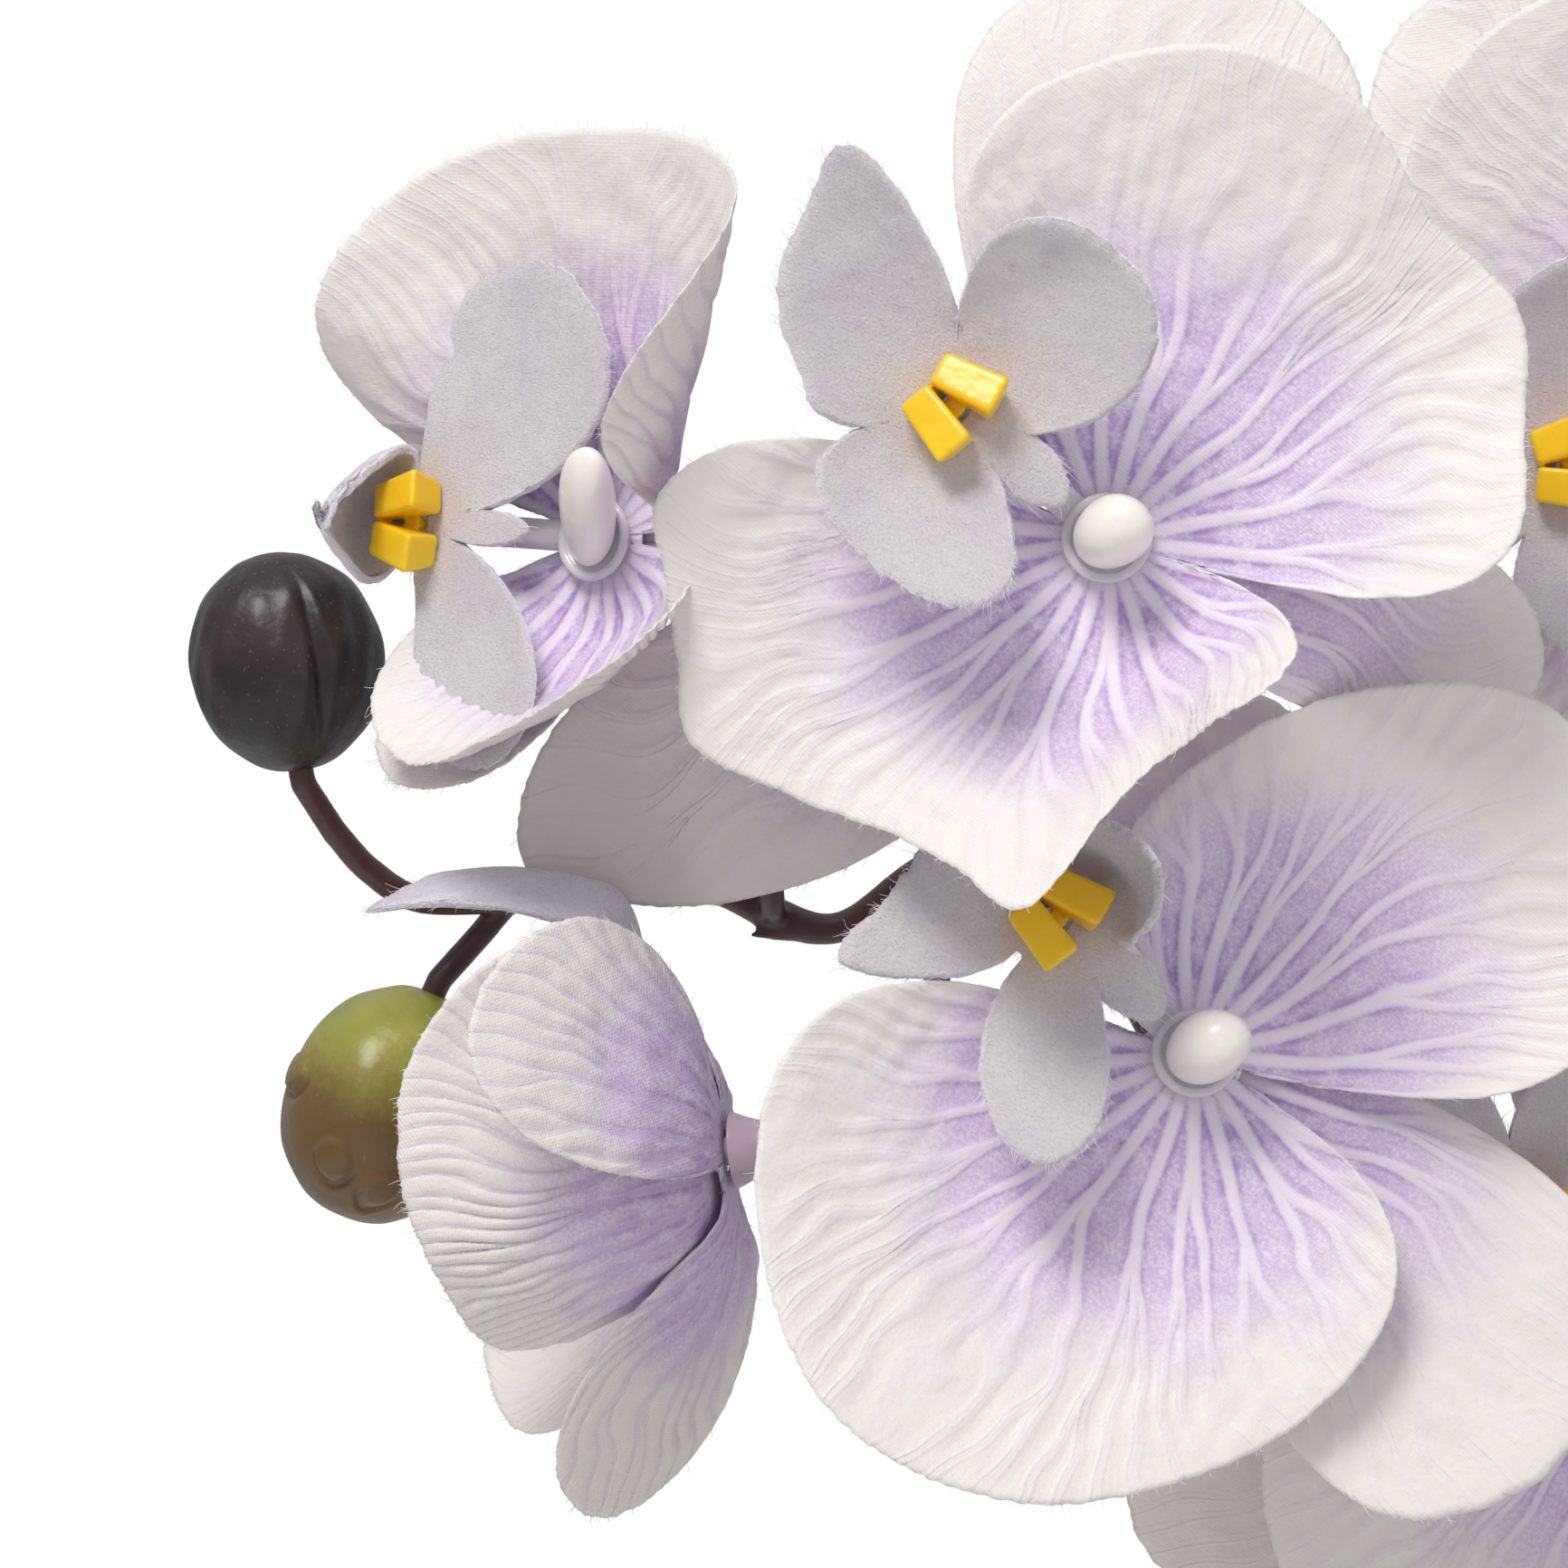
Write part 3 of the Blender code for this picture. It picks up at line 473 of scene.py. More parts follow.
def leaf_paint():
    """Rubbery leaf: deep green, paler along the midrib and below, with fine veins along it."""
    paint = Paint("leaf_green", 0.36, Coat_Weight=0.2, Coat_Roughness=0.3)
    along, across, _ = paint.parts(paint.vector("flat"))
    place = paint.place()
    cloud = paint.noise(place, 40, detail=4)
    lines = sine(across * 5.2 + 2.0 * paint.noise(place, 60)) * 0.5 + 0.5
    rib = 1 - ramp(size(across), 0.3, 1.6)
    colour = paint.mix(ramp(cloud, 0.35, 0.65), (0.030, 0.095, 0.022), (0.055, 0.150, 0.035))
    colour = paint.mix(rib * 0.45, colour, (0.16, 0.27, 0.08))
    colour = paint.mix(paint.number("side") * 0.6, colour, (0.12, 0.20, 0.07))
    tip = 1 - ramp(along, 0, 25)
    colour = paint.mix(tip * 0.5, colour, (0.20, 0.27, 0.09))
    paint.bump((lines, 0.10 * MM), (paint.noise(place, 900, detail=3), 0.05 * MM))
    return paint.finish(colour, 0.30 + 0.2 * cloud)


def pot_paint():
    """Cream glaze: a smooth coat with faint clouds and a few tiny pits."""
    paint = Paint("cream_glaze", 0.22, Coat_Weight=0.5, Coat_Roughness=0.08)
    place = paint.place()
    cloud = paint.noise(place, 22, detail=4)
    spot, _ = paint.cells(place, 420)
    pits = ramp(spot, 0.975, 0.995)
    colour = paint.mix(ramp(cloud, 0.3, 0.7), (0.80, 0.755, 0.68), (0.85, 0.815, 0.75))
    colour = paint.mix(pits * 0.35, colour, (0.50, 0.42, 0.33))
    paint.bump((paint.noise(place, 45, detail=2), 0.5 * MM), (1 - pits, 0.06 * MM))
    return paint.finish(colour, 0.20 + 0.14 * cloud)


def bark_paint(name="bark"):
    paint = Paint(name, 0.85, Specular_IOR_Level=0.25)
    place = paint.place()
    tone = paint.number("tone")
    fibres = paint.noise(paint.scaled(place, (1, 1, 3.5)), 330, detail=5, roughness=0.7)
    cloud = paint.noise(place, 60, detail=3)
    colour = paint.mix(tone, (0.075, 0.036, 0.020), (0.27, 0.155, 0.085))
    colour = paint.mix(ramp(fibres, 0.40, 0.68), colour, (0.36, 0.235, 0.14))
    colour = paint.mix(ramp(cloud, 0.5, 0.75) * 0.6, colour, (0.04, 0.022, 0.014))
    paint.bump((fibres, 1.0 * MM), (paint.noise(place, 1500, detail=3), 0.15 * MM))
    return paint.finish(colour, 0.75 + 0.2 * fibres)


def filler_paint():
    paint = Paint("set_filler", 0.9)
    place = paint.place()
    grit = paint.noise(place, 900, detail=4, roughness=0.7)
    paint.bump((grit, 0.5 * MM))
    return paint.finish(paint.mix(grit, (0.30, 0.285, 0.26), (0.55, 0.53, 0.49)), 0.8 + 0.15 * grit)


def floor_paint():
    """A pale floor that thins out into the white of the studio."""
    paint = Paint("pale_floor", 0.7)
    place = paint.place()
    x, y, _ = paint.parts(place)
    cloud = paint.noise(place, 1.5, detail=3)
    distance = (x * x + y * y).math("SQRT")
    paint.link(1 - ramp(distance, 0.45, FLOOR_RADIUS), paint.shader.inputs["Alpha"])
    return paint.finish(paint.mix(cloud, (0.80, 0.79, 0.775), (0.84, 0.83, 0.815)), 0.6 + 0.2 * cloud)


PAINTS = {
    "cloth": cloth_paint(),
    "velvet": velvet_paint(),
    "knob": plastic_paint("white_knob", (0.86, 0.835, 0.79), (0.89, 0.87, 0.84), 0.30, Subsurface_Weight=0.35,
                          Subsurface_Scale=0.002, Coat_Weight=0.3, Coat_Roughness=0.15),
    "pin": plastic_paint("clear_pin", (0.84, 0.79, 0.86), (0.88, 0.84, 0.90), 0.16, Transmission_Weight=0.25,
                         IOR=1.46, Coat_Weight=0.4, Coat_Roughness=0.08),
    "callus": plastic_paint("yellow_callus", (0.93, 0.56, 0.006), (0.95, 0.66, 0.010), 0.30, grain=0.06,
                            Subsurface_Weight=0.2, Subsurface_Scale=0.0015, Coat_Weight=0.2,
                            Coat_Roughness=0.2),
    "socket": plastic_paint("mauve_socket", (0.50, 0.36, 0.46), (0.60, 0.46, 0.56), 0.35,
                            Transmission_Weight=0.15),
    "stem": stem_paint(),
    "bud_upper": dark_bud_paint(),
    "bud_lower": olive_bud_paint(),
    "leaf": leaf_paint(),
    "pot": pot_paint(),
    "bark": bark_paint(),
    "filler": filler_paint(),
    "fibre": plastic_paint("fibre", (0.86, 0.83, 0.84), (0.90, 0.88, 0.89), 0.5, Sheen_Weight=0.4),
}


# ------------------------------------------------------------------ mesh helpers


def add_piece(name, data, paint, replaces=(), turn=None):
    made = bpy.data.objects.new(name, data)
    bpy.context.scene.collection.objects.link(made)
    if paint is not None:
        data.materials.append(PAINTS[paint])
    if turn is not None:
        made.matrix_world = turn
    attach(made, ROOT)
    if replaces:
        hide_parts(*replaces)
    return made


def quads_mesh(name, points, quads, **attributes):
    """A smooth mesh of quads, with an attribute for each extra array that has a row for every point."""
    mesh = bpy.data.meshes.new(name)
    mesh.from_pydata(points.tolist(), [], quads.tolist())
    for key, values in attributes.items():
        kind, field = ("FLOAT", "value") if values.ndim == 1 else ("FLOAT_VECTOR", "vector")
        mesh.attributes.new(key, kind, "POINT").data.foreach_set(field, values.astype(np.float32).ravel())
    mesh.shade_smooth()
    return mesh


def grid_quads(columns, rows, closed):
    """Quads of a grid whose point (i, j) has number i * rows + j."""
    i, j = np.meshgrid(np.arange(columns if closed else columns - 1), np.arange(rows - 1), indexing="ij")
    i, j = i.ravel(), j.ravel()
    after = (i + 1) % columns
    return np.stack([i * rows + j, i * rows + j + 1, after * rows + j + 1, after * rows + j], axis=1)


def shell_mesh(name, middle, half, closed, **attributes):
    """A shell of half thickness half round a surface of points [i, j], closed along i or with four edges."""
    columns, rows, _ = middle.shape
    if closed:
        along = np.roll(middle, -1, axis=0) - np.roll(middle, 1, axis=0)
    else:
        along = np.gradient(middle, axis=0)
    normal = np.cross(np.gradient(middle, axis=1), along)
    normal /= np.maximum(np.linalg.norm(normal, axis=2, keepdims=True), 1e-12)
    offset = normal * half[..., None]
    points = np.concatenate([(middle + offset).reshape(-1, 3), (middle - offset).reshape(-1, 3)])
    front = grid_quads(columns, rows, closed)
    count = columns * rows
    faces = [front[:, ::-1], front + count]
    ring = np.arange(columns) * rows
    edges = [(ring + rows - 1, True), (ring, False)]
    if not closed:
        edges += [(np.arange(rows), True), (np.arange(rows) + (columns - 1) * rows, False)]
    for line, forward in edges:
        ends = np.roll(line, -1) if closed else line[1:]
        starts = line if closed else line[:-1]
        strip = np.stack([starts, ends, ends + count, starts + count], axis=1)
        faces.append(strip if forward else strip[:, ::-1])
    both = {key: np.concatenate([values, values]) for key, values in attributes.items()}
    side = np.repeat([0.0, 1.0], count)
    return quads_mesh(name, points, np.concatenate(faces), side=side, **both)


def turned_mesh(name, profile_mm, steps, per_span=6, shaped=None):
    """A shape turned about +Z from (radius, height) points that run down its outer side."""
    outline = [Vector((radius, 0, height)) for radius, height in profile_mm]
    line = np.array(smooth_path(outline, per_span) if per_span > 1 else outline)
    theta = np.arange(steps) / steps * 2 * pi
    shape = (steps, len(line))
    radius, height = np.broadcast_to(np.maximum(line[:, 0], 0), shape), np.broadcast_to(line[:, 2], shape)
    turn = np.broadcast_to(theta[:, None], shape)
    if shaped is not None:
        radius, height = shaped(radius, height, turn)
    points = np.stack([radius * np.cos(turn), radius * np.sin(turn), height], axis=2) * MM
    mesh = quads_mesh(name, points.reshape(-1, 3), grid_quads(steps, len(line), True)[:, ::-1])
    bm = bmesh.new()
    bm.from_mesh(mesh)
    bmesh.ops.remove_doubles(bm, verts=bm.verts, dist=1e-7)
    bmesh.ops.recalc_face_normals(bm, faces=bm.faces)
    bm.to_mesh(mesh)
    bm.free()
    mesh.shade_smooth()
    return mesh


def rods_curve(name, rods, depth, resolution):
    """Round rods, each of (points, the radius at each point as a factor of depth)."""
    curve = bpy.data.curves.new(name, "CURVE")
    curve.dimensions = "3D"
    curve.bevel_depth = depth
    curve.bevel_resolution = resolution
    curve.use_fill_caps = True
    for line, radii in rods:
        spline = curve.splines.new("POLY")
        spline.points.add(len(line) - 1)
        for point, place, radius in zip(spline.points, line, radii):
            point.co = (*place, 1)
            point.radius = radius
    return curve


def melt_together(made, voxel, factor, rounds):
    """Joins a piece's overlapping bodies into one skin and softens it."""
    melt = made.modifiers.new("One moulding", "REMESH")
    melt.mode = "VOXEL"
    melt.voxel_size = voxel
    melt.use_smooth_shade = True
    soften = made.modifiers.new("Soft edges", "SMOOTH")
    soften.factor = factor
    soften.iterations = rounds


# ----------------------------------------------------------------- cloth layers


@dataclass
class Lobe:
    """One petal, sepal or lip lobe. Its lists hold values at even angles from -spread to +spread."""

    angle: float
    spread: float
    rim_mm: tuple
    lift: tuple = (8,)
    curl: tuple = (15,)
    ruffle_mm: float = 0
    waves: float = 5
    phase: float = 0


@dataclass
class Layer:
    """How a kind of layer is cut, and how finely it is modelled."""

    level: float
    reach: float  # how far its hub stands from the flower's middle, towards the lip
    hub: float
    hole: float
    thickness: float
    fray_mm: float
    ridge: float
    pucker: float
    columns: int
    rows: int


def layer_shape(lobes, theta, hub):
    """Reach, lift, curl, waves, the leading lobe and the angle from its axis, in the directions theta."""
    reaches, lifts, curls, waves, angles = [], [], [], [], []
    for lobe in lobes:
        phi = wrapped(theta - radians(lobe.angle))
        share = phi / radians(lobe.spread)
        closing = np.clip(1 - np.abs(share) ** 10, 0, 1)
        reaches.append(spread_out(lobe.rim_mm, share) * MM * np.sqrt(closing))
        lifts.append(spread_out(lobe.lift, share))
        curls.append(spread_out(lobe.curl, share))
        waves.append(lobe.ruffle_mm * MM * np.sin(lobe.waves * phi + lobe.phase))
        angles.append(phi)
    reaches, angles = np.array(reaches), np.array(angles)
    weights = np.maximum(reaches, 1e-4) ** 6
    weights = weights / weights.sum(axis=0)
    rim = np.maximum(reaches.max(axis=0), hub)
    lift, curl, wave = ((weights * np.array(values)).sum(axis=0) for values in (lifts, curls, waves))
    lead = reaches.argmax(axis=0)
    return rim, lift, curl, wave, lead, np.take_along_axis(angles, lead[None], axis=0)[0]


def pressed_layer(lobes, layer, seed):
    """Points [i, j] of a layer's middle surface, with its flat places and vein coordinates."""
    theta = np.linspace(0, 2 * pi, 2881)
    rims = layer_shape(lobes, theta, layer.hub)[0]
    steps = np.hypot(np.diff(rims * np.cos(theta)), np.diff(rims * np.sin(theta)))
    travelled = np.concatenate([[0], np.cumsum(steps)])
    share = np.arange(layer.columns) / layer.columns
    theta = np.interp(share * travelled[-1], travelled, theta)
    rim, lift, curl, wave, lead, phi = layer_shape(lobes, theta, layer.hub)
    edge = rim * np.stack([np.cos(theta), np.sin(theta)]) / MM
    torn = smooth_noise(edge[0], edge[1], 1.1, seed) + 0.7 * smooth_noise(edge[0], edge[1], 4.5, seed + 1)
    rim = rim + layer.fray_mm * MM * torn * ramp(rim, layer.hub, layer.hub + 4 * MM)

    spaced = np.linspace(0, 1, layer.rows) ** 1.25
    rim, theta, lift, curl = (values[:, None] for values in (rim, theta, lift, curl))
    r = layer.hole + (rim - layer.hole) * spaced
    longest = max(max(lobe.rim_mm) for lobe in lobes) * MM
    out, rise = np.minimum(r, layer.hub), np.zeros_like(r)
    samples = 28
    step = np.maximum(r - layer.hub, 0) / samples
    for k in range(samples):
        outward = (k + 0.5) * step / (longest - layer.hub)
        tilt = np.radians(lift * ramp(outward, 0, 0.2) + curl * outward)
        out, rise = out + step * np.cos(tilt), rise + step * np.sin(tilt)
    rise = rise + wave[:, None] * ramp((rim - layer.hub) / (0.4 * longest), 0, 1) * (r / rim) ** 3
    middle = np.stack([layer.reach + out * np.cos(theta), out * np.sin(theta), rise + layer.level], axis=2)

    x_mm, y_mm = r * np.cos(theta) / MM, r * np.sin(theta) / MM
    drift = 0.09 * smooth_noise(x_mm, y_mm, 30, seed + 2) + 0.016 * smooth_noise(x_mm, y_mm, 9, seed + 3)
    stripe = (phi[:, None] + drift * ramp(r / MM, 4, 20)) * STRIPES + 11 * lead[:, None] + 40
    way = np.clip((r - layer.hub) / (rim - layer.hub + 1e-6), 0, 1)
    whole_reach = np.clip((r - layer.hub) / (0.86 * longest - layer.hub), 0, 1.3)
    way = 0.5 * way + 0.5 * whole_reach
    main, fine = vein_pattern(stripe, r / MM, way)
    half = VEIN_HALF_MM * (1.15 - 0.5 * way)
    calm = ramp(r / MM, 3.5, 8) * (1 - 0.6 * ramp(spaced[None, :], 0.93, 1))
    thin_ridge = (1 - ramp(fine, 0.1 * half, 1.8 * half)) * ramp(way, 0.4, 0.8)
    ridge = (1 - ramp(main, 0.1 * half, 1.8 * half)) + 0.30 * thin_ridge
    swell = smooth_noise(x_mm, y_mm, 9, seed + 4) * 0.7 + smooth_noise(x_mm, y_mm, 3.2, seed + 5) * 0.3
    height = calm * (layer.ridge * ridge + layer.pucker * swell)
    along = np.roll(middle, -1, axis=0) - np.roll(middle, 1, axis=0)
    normal = np.cross(np.gradient(middle, axis=1), along)
    normal /= np.maximum(np.linalg.norm(normal, axis=2, keepdims=True), 1e-12)
    middle = middle + normal * height[..., None]
    flat = np.stack([x_mm, y_mm, np.zeros_like(x_mm)], axis=2).reshape(-1, 3)
    vein = np.stack([stripe, r / MM, way], axis=2).reshape(-1, 3)
    return middle, flat, vein


def surface_area(points):
    """Area of a surface of points [i, j] that closes along i."""
    after = np.roll(points, -1, axis=0)
    a, b, c, d = points[:, :-1], points[:, 1:], after[:, 1:], after[:, :-1]
    crossed = np.cross(c - a, d - b)
    return float(np.linalg.norm(crossed, axis=2).sum() / 2)


def cloth_layer(name, lobes, layer, seed, paint, cad_node, turn):
    """A cloth layer: a thin shell pressed to shape from the flat cut of its sheet."""
    middle, flat, vein = pressed_layer(lobes, layer, seed)
    half = np.full(middle.shape[:2], layer.thickness / 2)
    half[:, -1] *= 0.35
    half[:, -2] *= 0.8
    mesh = shell_mesh(name, middle, half, True, flat=flat, vein=vein)
    made = add_piece(name, mesh, paint, [cad_node], turn)
    pattern = flat.reshape(middle.shape) * MM
    surface_area(pattern)
    return middle


STRAND_RADIUS = 0.03 * MM
STRAND_TAPER = np.linspace(1, 0.4, 4)


def fringe(middle, turn, count, length_mm, draw):
    """Short loose threads that stand out from a layer's cut edge."""
    world = np.array(turn)
    strands = []
    for k in draw.integers(0, len(middle), count):
        rim = middle[k, -1]
        outward = rim - middle[k, -4]
        outward = outward / np.linalg.norm(outward)
        bend = draw.normal(0, 0.55, 3)
        length = length_mm * MM * draw.uniform(0.3, 1.0)
        line = [rim + length * t * (outward + bend * t) for t in (-0.2, 0.35, 0.7, 1.0)]
        strands.append(([world[:3, :3] @ point + world[:3, 3] for point in line], STRAND_TAPER))
    return strands


# --------------------------------------------------------------------- flowers


@dataclass
class Flower:
    """How a flower's lobes are bent, and where its stalk leaves the stem."""

    letter: str
    joins: int
    petals: list
    sepals: list
    lip_lobes: list
    leave_mm: tuple = (0, -12, 0)
    knob_lean: tuple = (-0.1, -0.15)  # how far the knob leans, along X and Y, for each unit of height
    fine: bool = True


PETAL_A = Lobe(
    angle=95, spread=80, rim_mm=(26, 37, 43, 45, 44, 46, 45, 38, 27),
    lift=(5, 6, 4, 6, 5), curl=(8, 12, 8, 12, 8), ruffle_mm=2, waves=4.2,
)
PETAL_B = replace(PETAL_A, angle=-95, phase=2.1)
SEPAL_A = Lobe(
    angle=58, spread=46, rim_mm=(8, 22, 39, 50, 53, 48, 38, 22, 8), lift=(2, -6, 2), curl=(5, -8, 5)
)
SEPAL_B = replace(SEPAL_A, angle=-58)
SEPAL_C = replace(SEPAL_A, angle=180)
SHORT_SEPAL = replace(SEPAL_A, rim_mm=(8, 18, 28, 34, 36, 34, 28, 18, 8))
LIP_FRONT = Lobe(
    angle=0, spread=56, rim_mm=(9, 14, 24, 18, 17, 18, 24, 14, 9), lift=(25, 10, 25), curl=(35, 10, 35)
)
LIP_EAR_A = Lobe(angle=106, spread=58, rim_mm=(9, 15, 18.5, 20.5, 21, 19, 13, 6), lift=(22,), curl=(25,))
LIP_EAR_B = replace(LIP_EAR_A, angle=-106, rim_mm=(6, 13, 19, 21, 20.5, 18.5, 15, 9))
LIP_TONGUE = Lobe(angle=180, spread=28, rim_mm=(5, 10, 12.6, 10, 5), lift=(-4,), curl=(4,))
USUAL_LIP = [LIP_FRONT, LIP_EAR_A, LIP_EAR_B, LIP_TONGUE]

FLOWERS = [
    Flower(
        "a", 29,
        petals=[
            Lobe(
                angle=97, spread=79, rim_mm=(18, 26, 31, 34, 34, 33, 30), lift=(10, 28, 36, 36, 30),
                curl=(20, 38, 48, 48, 40), ruffle_mm=1, waves=4,
            ),
            Lobe(
                angle=-92, spread=78, rim_mm=(33, 38, 39.5, 38.5, 37, 37, 37, 36, 32),
                lift=(50, 32, 14, 8, 8, 12, 16, 6), curl=(60, 45, 20, 10, 10, 15, 25, 16),
                ruffle_mm=1, waves=4,
            ),
        ],
        sepals=[
            replace(SEPAL_A, rim_mm=(8, 16, 25, 29, 30, 28, 24, 16, 8), lift=(0, 10, 22), curl=(6, 32, 44)),
            replace(SEPAL_B, rim_mm=(8, 18, 28, 33, 35, 33, 27, 17, 8), lift=(-2,), curl=(-2,)),
            replace(SEPAL_C, rim_mm=(8, 18, 26, 30, 31, 29, 24, 16, 8), lift=(-34,), curl=(-4,)),
        ],
        lip_lobes=[
            replace(LIP_FRONT, angle=-14, spread=74, lift=(112, 108, 104), curl=(36, 30, 30)),
            replace(
                LIP_EAR_A, angle=130, spread=36, rim_mm=(8, 17, 24, 27, 27, 23, 14, 5), lift=(8,), curl=(14,)
            ),
            replace(
                LIP_EAR_B, angle=-128, spread=43, rim_mm=(6, 19, 26, 28, 28, 25, 20, 9), lift=(-6,),
                curl=(20,),
            ),
            replace(LIP_TONGUE, spread=17),
        ],
        knob_lean=(-0.55, -0.7),
    ),
    Flower(
        "b", 24,
        petals=[
            Lobe(
                angle=108, spread=94,
                rim_mm=(31, 38, 41, 39, 39, 40.5, 36.5, 33.5, 32, 33, 36, 29, 26, 27, 29, 31, 30.5, 28, 24),
                lift=(10, 4, 2, 2, 6, 14, 30, 42, 42, 34), curl=(20, 8, 4, 6, 12, 25, 40, 45, 40, 35),
                ruffle_mm=1, waves=5, phase=1,
            ),
            Lobe(
                angle=-88, spread=70, rim_mm=(34.5, 37, 37.5, 41, 39.5, 43.5, 44, 42, 39, 34),
                lift=(8, 5, 3, 5, 8, 12), curl=(16, 12, 8, 5, 10, 18), ruffle_mm=2, waves=5, phase=0.6,
            ),
        ],
        sepals=[
            replace(
                SEPAL_A, angle=68, spread=38, rim_mm=(8, 22, 42, 58, 64, 55, 43, 30, 14),
                lift=(-22,), curl=(-2,),
            ),
            replace(SEPAL_B, angle=-56, rim_mm=(10, 30, 46, 52, 53, 51, 44, 26, 8), lift=(-4,), curl=(-10,)),
            replace(SEPAL_C, angle=200, rim_mm=(8, 12, 20, 36, 44, 43, 34, 20, 8), lift=(-38,), curl=(16,)),
        ],
        lip_lobes=[
            replace(
                LIP_FRONT, rim_mm=(9, 15, 25, 22, 20, 17.5, 14.5, 13.5, 12), lift=(24, 12, 20, 34),
                curl=(20, 10, 30),
            ),
            replace(
                LIP_EAR_A, rim_mm=(10, 14.5, 16.5, 17.5, 19, 20.5, 18.5, 8), lift=(30, 26, 18), curl=(30,)
            ),
            replace(
                LIP_EAR_B, rim_mm=(6, 12.5, 18.5, 21.5, 21.5, 20.5, 17, 10), lift=(14, 20, 26), curl=(28,)
            ),
            LIP_TONGUE,
        ],
    ),
    Flower(
        "c", 25,
        petals=[
            Lobe(
                angle=106, spread=84, rim_mm=(33, 40, 44.5, 48, 45, 39, 34, 29, 23),
                lift=(20, 14, 8, 6, 8, 10, 14), curl=(10, 14, 18, 16, 12, 14, 18),
                ruffle_mm=1.5, waves=4, phase=2,
            ),
            Lobe(
                angle=-84, spread=70, rim_mm=(32, 38, 43, 44, 36, 28, 22, 16),
                lift=(12, 8, 10, 14, 14), curl=(18, 15, 12, 12, 15), ruffle_mm=1.5, waves=4, phase=1,
            ),
        ],
        sepals=[
            replace(SEPAL_A, angle=62, rim_mm=(6, 10, 18, 34, 46, 43, 34, 20, 8), lift=(-34,), curl=(-6,)),
            replace(SEPAL_B, rim_mm=(8, 18, 28, 34, 36, 34, 27, 17, 8), lift=(-14,), curl=(-10,)),
            replace(SEPAL_C, angle=174, rim_mm=(10, 28, 42, 47, 48, 46, 40, 25, 8), lift=(2,), curl=(2,)),
        ],
        lip_lobes=[
            replace(
                LIP_FRONT, angle=25, rim_mm=(8, 12, 17, 14, 14, 16, 20, 13, 9), lift=(10, 4, 10), curl=(10,)
            ),
            replace(
                LIP_EAR_A, angle=126, spread=38, rim_mm=(7, 13, 19, 23, 23, 19, 12, 6), lift=(16,), curl=(12,)
            ),
            replace(LIP_EAR_B, lift=(76,), curl=(20,)),
            LIP_TONGUE,
        ],
    ),
    Flower(
        "d", 26, leave_mm=(0, -40, 4),
        petals=[
            Lobe(
                angle=112, spread=80, rim_mm=(16, 24, 31, 35, 37, 38, 37, 32), lift=(6, 34, 40, 38, 32),
                curl=(16, 40, 40, 36, 30), ruffle_mm=1, waves=4,
            ),
            Lobe(
                angle=-90, spread=78, rim_mm=(22, 29, 32, 34, 34.5, 34, 34, 31, 22),
                lift=(40, 44, 44, 42, 34, 8), curl=(50, 50, 50, 50, 40, 10), ruffle_mm=1, waves=4,
            ),
        ],
        sepals=[
            replace(SEPAL_A, rim_mm=(8, 14, 20, 23, 24, 23, 20, 14, 8), lift=(24, 30, 36), curl=(30,)),
            replace(
                SEPAL_B, angle=-52, rim_mm=(8, 19, 29, 34, 35, 33, 28, 18, 8), lift=(26, 20, 0),
                curl=(30, 30, 4),
            ),
            replace(
                SEPAL_C, rim_mm=(8, 20, 31, 36, 37, 34, 27, 17, 8), lift=(-8, 12, 28, 44, 50), curl=(12,)
            ),
        ],
        lip_lobes=[
            replace(LIP_FRONT, rim_mm=(11, 17, 29, 26, 25, 26, 29, 17, 11), lift=(60,), curl=(44,)),
            replace(LIP_EAR_A, lift=(40,), curl=(60,)),
            replace(LIP_EAR_B, lift=(40,), curl=(60,)),
            LIP_TONGUE,
        ],
    ),
    *(
        Flower(letter, joins, [PETAL_A, PETAL_B], sepals, USUAL_LIP, fine=fine)
        for letter, joins, sepals, fine in (
            ("e", 19, [SHORT_SEPAL, SEPAL_B, SEPAL_C], True),
            ("f", 21, [SEPAL_A, replace(SHORT_SEPAL, angle=-58), SEPAL_C], True),
            ("g", 15, [SEPAL_A, SEPAL_B, SEPAL_C], False),
            ("h", 12, [SEPAL_A, SEPAL_B, SEPAL_C], False),
        )
    ),
]

PETAL_LAYER = Layer(PETAL_LEVEL, 0, HUB, PIN_HOLE, CLOTH, 0.10, RIDGE, PUCKER, columns=620, rows=76)
SEPAL_LAYER = Layer(SEPAL_LEVEL, 0, HUB, PIN_HOLE, CLOTH, 0.12, RIDGE * 0.8, PUCKER, columns=520, rows=64)
LIP_LAYER = Layer(LIP_LEVEL, LIP_REACH, LIP_HUB, LIP_HOLE, VELVET, 0.16, 0, 0.12 * MM, columns=420, rows=48)


def node_points(node):
    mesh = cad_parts[node].data
    points = np.zeros(len(mesh.vertices) * 3, np.float32)
    mesh.vertices.foreach_get("co", points)
    return points.reshape(-1, 3).astype(float)


def flower_frame(letter):
    """A flower's own frame, from the line of its CAD socket, the column on it and the callus beside it."""
    socket = np.unique(node_points(f"flower_{letter}_socket").round(6), axis=0)
    column, callus = (node_points(f"flower_{letter}_{part}").mean(axis=0) for part in ("column", "callus"))
    middle = socket.mean(axis=0)
    spreads = np.linalg.eigh(np.cov((socket - middle).T))
    facing = min(spreads[1].T, key=lambda axis: roundness(socket, middle, axis))
    if facing @ (column - middle) < 0:
        facing = -facing
    top = ((socket - middle) @ facing).max()
    origin = middle + facing * (top - SOCKET_TOP)
    towards = callus - origin
    towards = towards - facing * (towards @ facing)
    towards /= np.linalg.norm(towards)
    turn = Matrix(np.stack([towards, np.cross(facing, towards), facing], axis=1).tolist()).to_4x4()
    return Matrix.Translation(Vector(origin)) @ turn


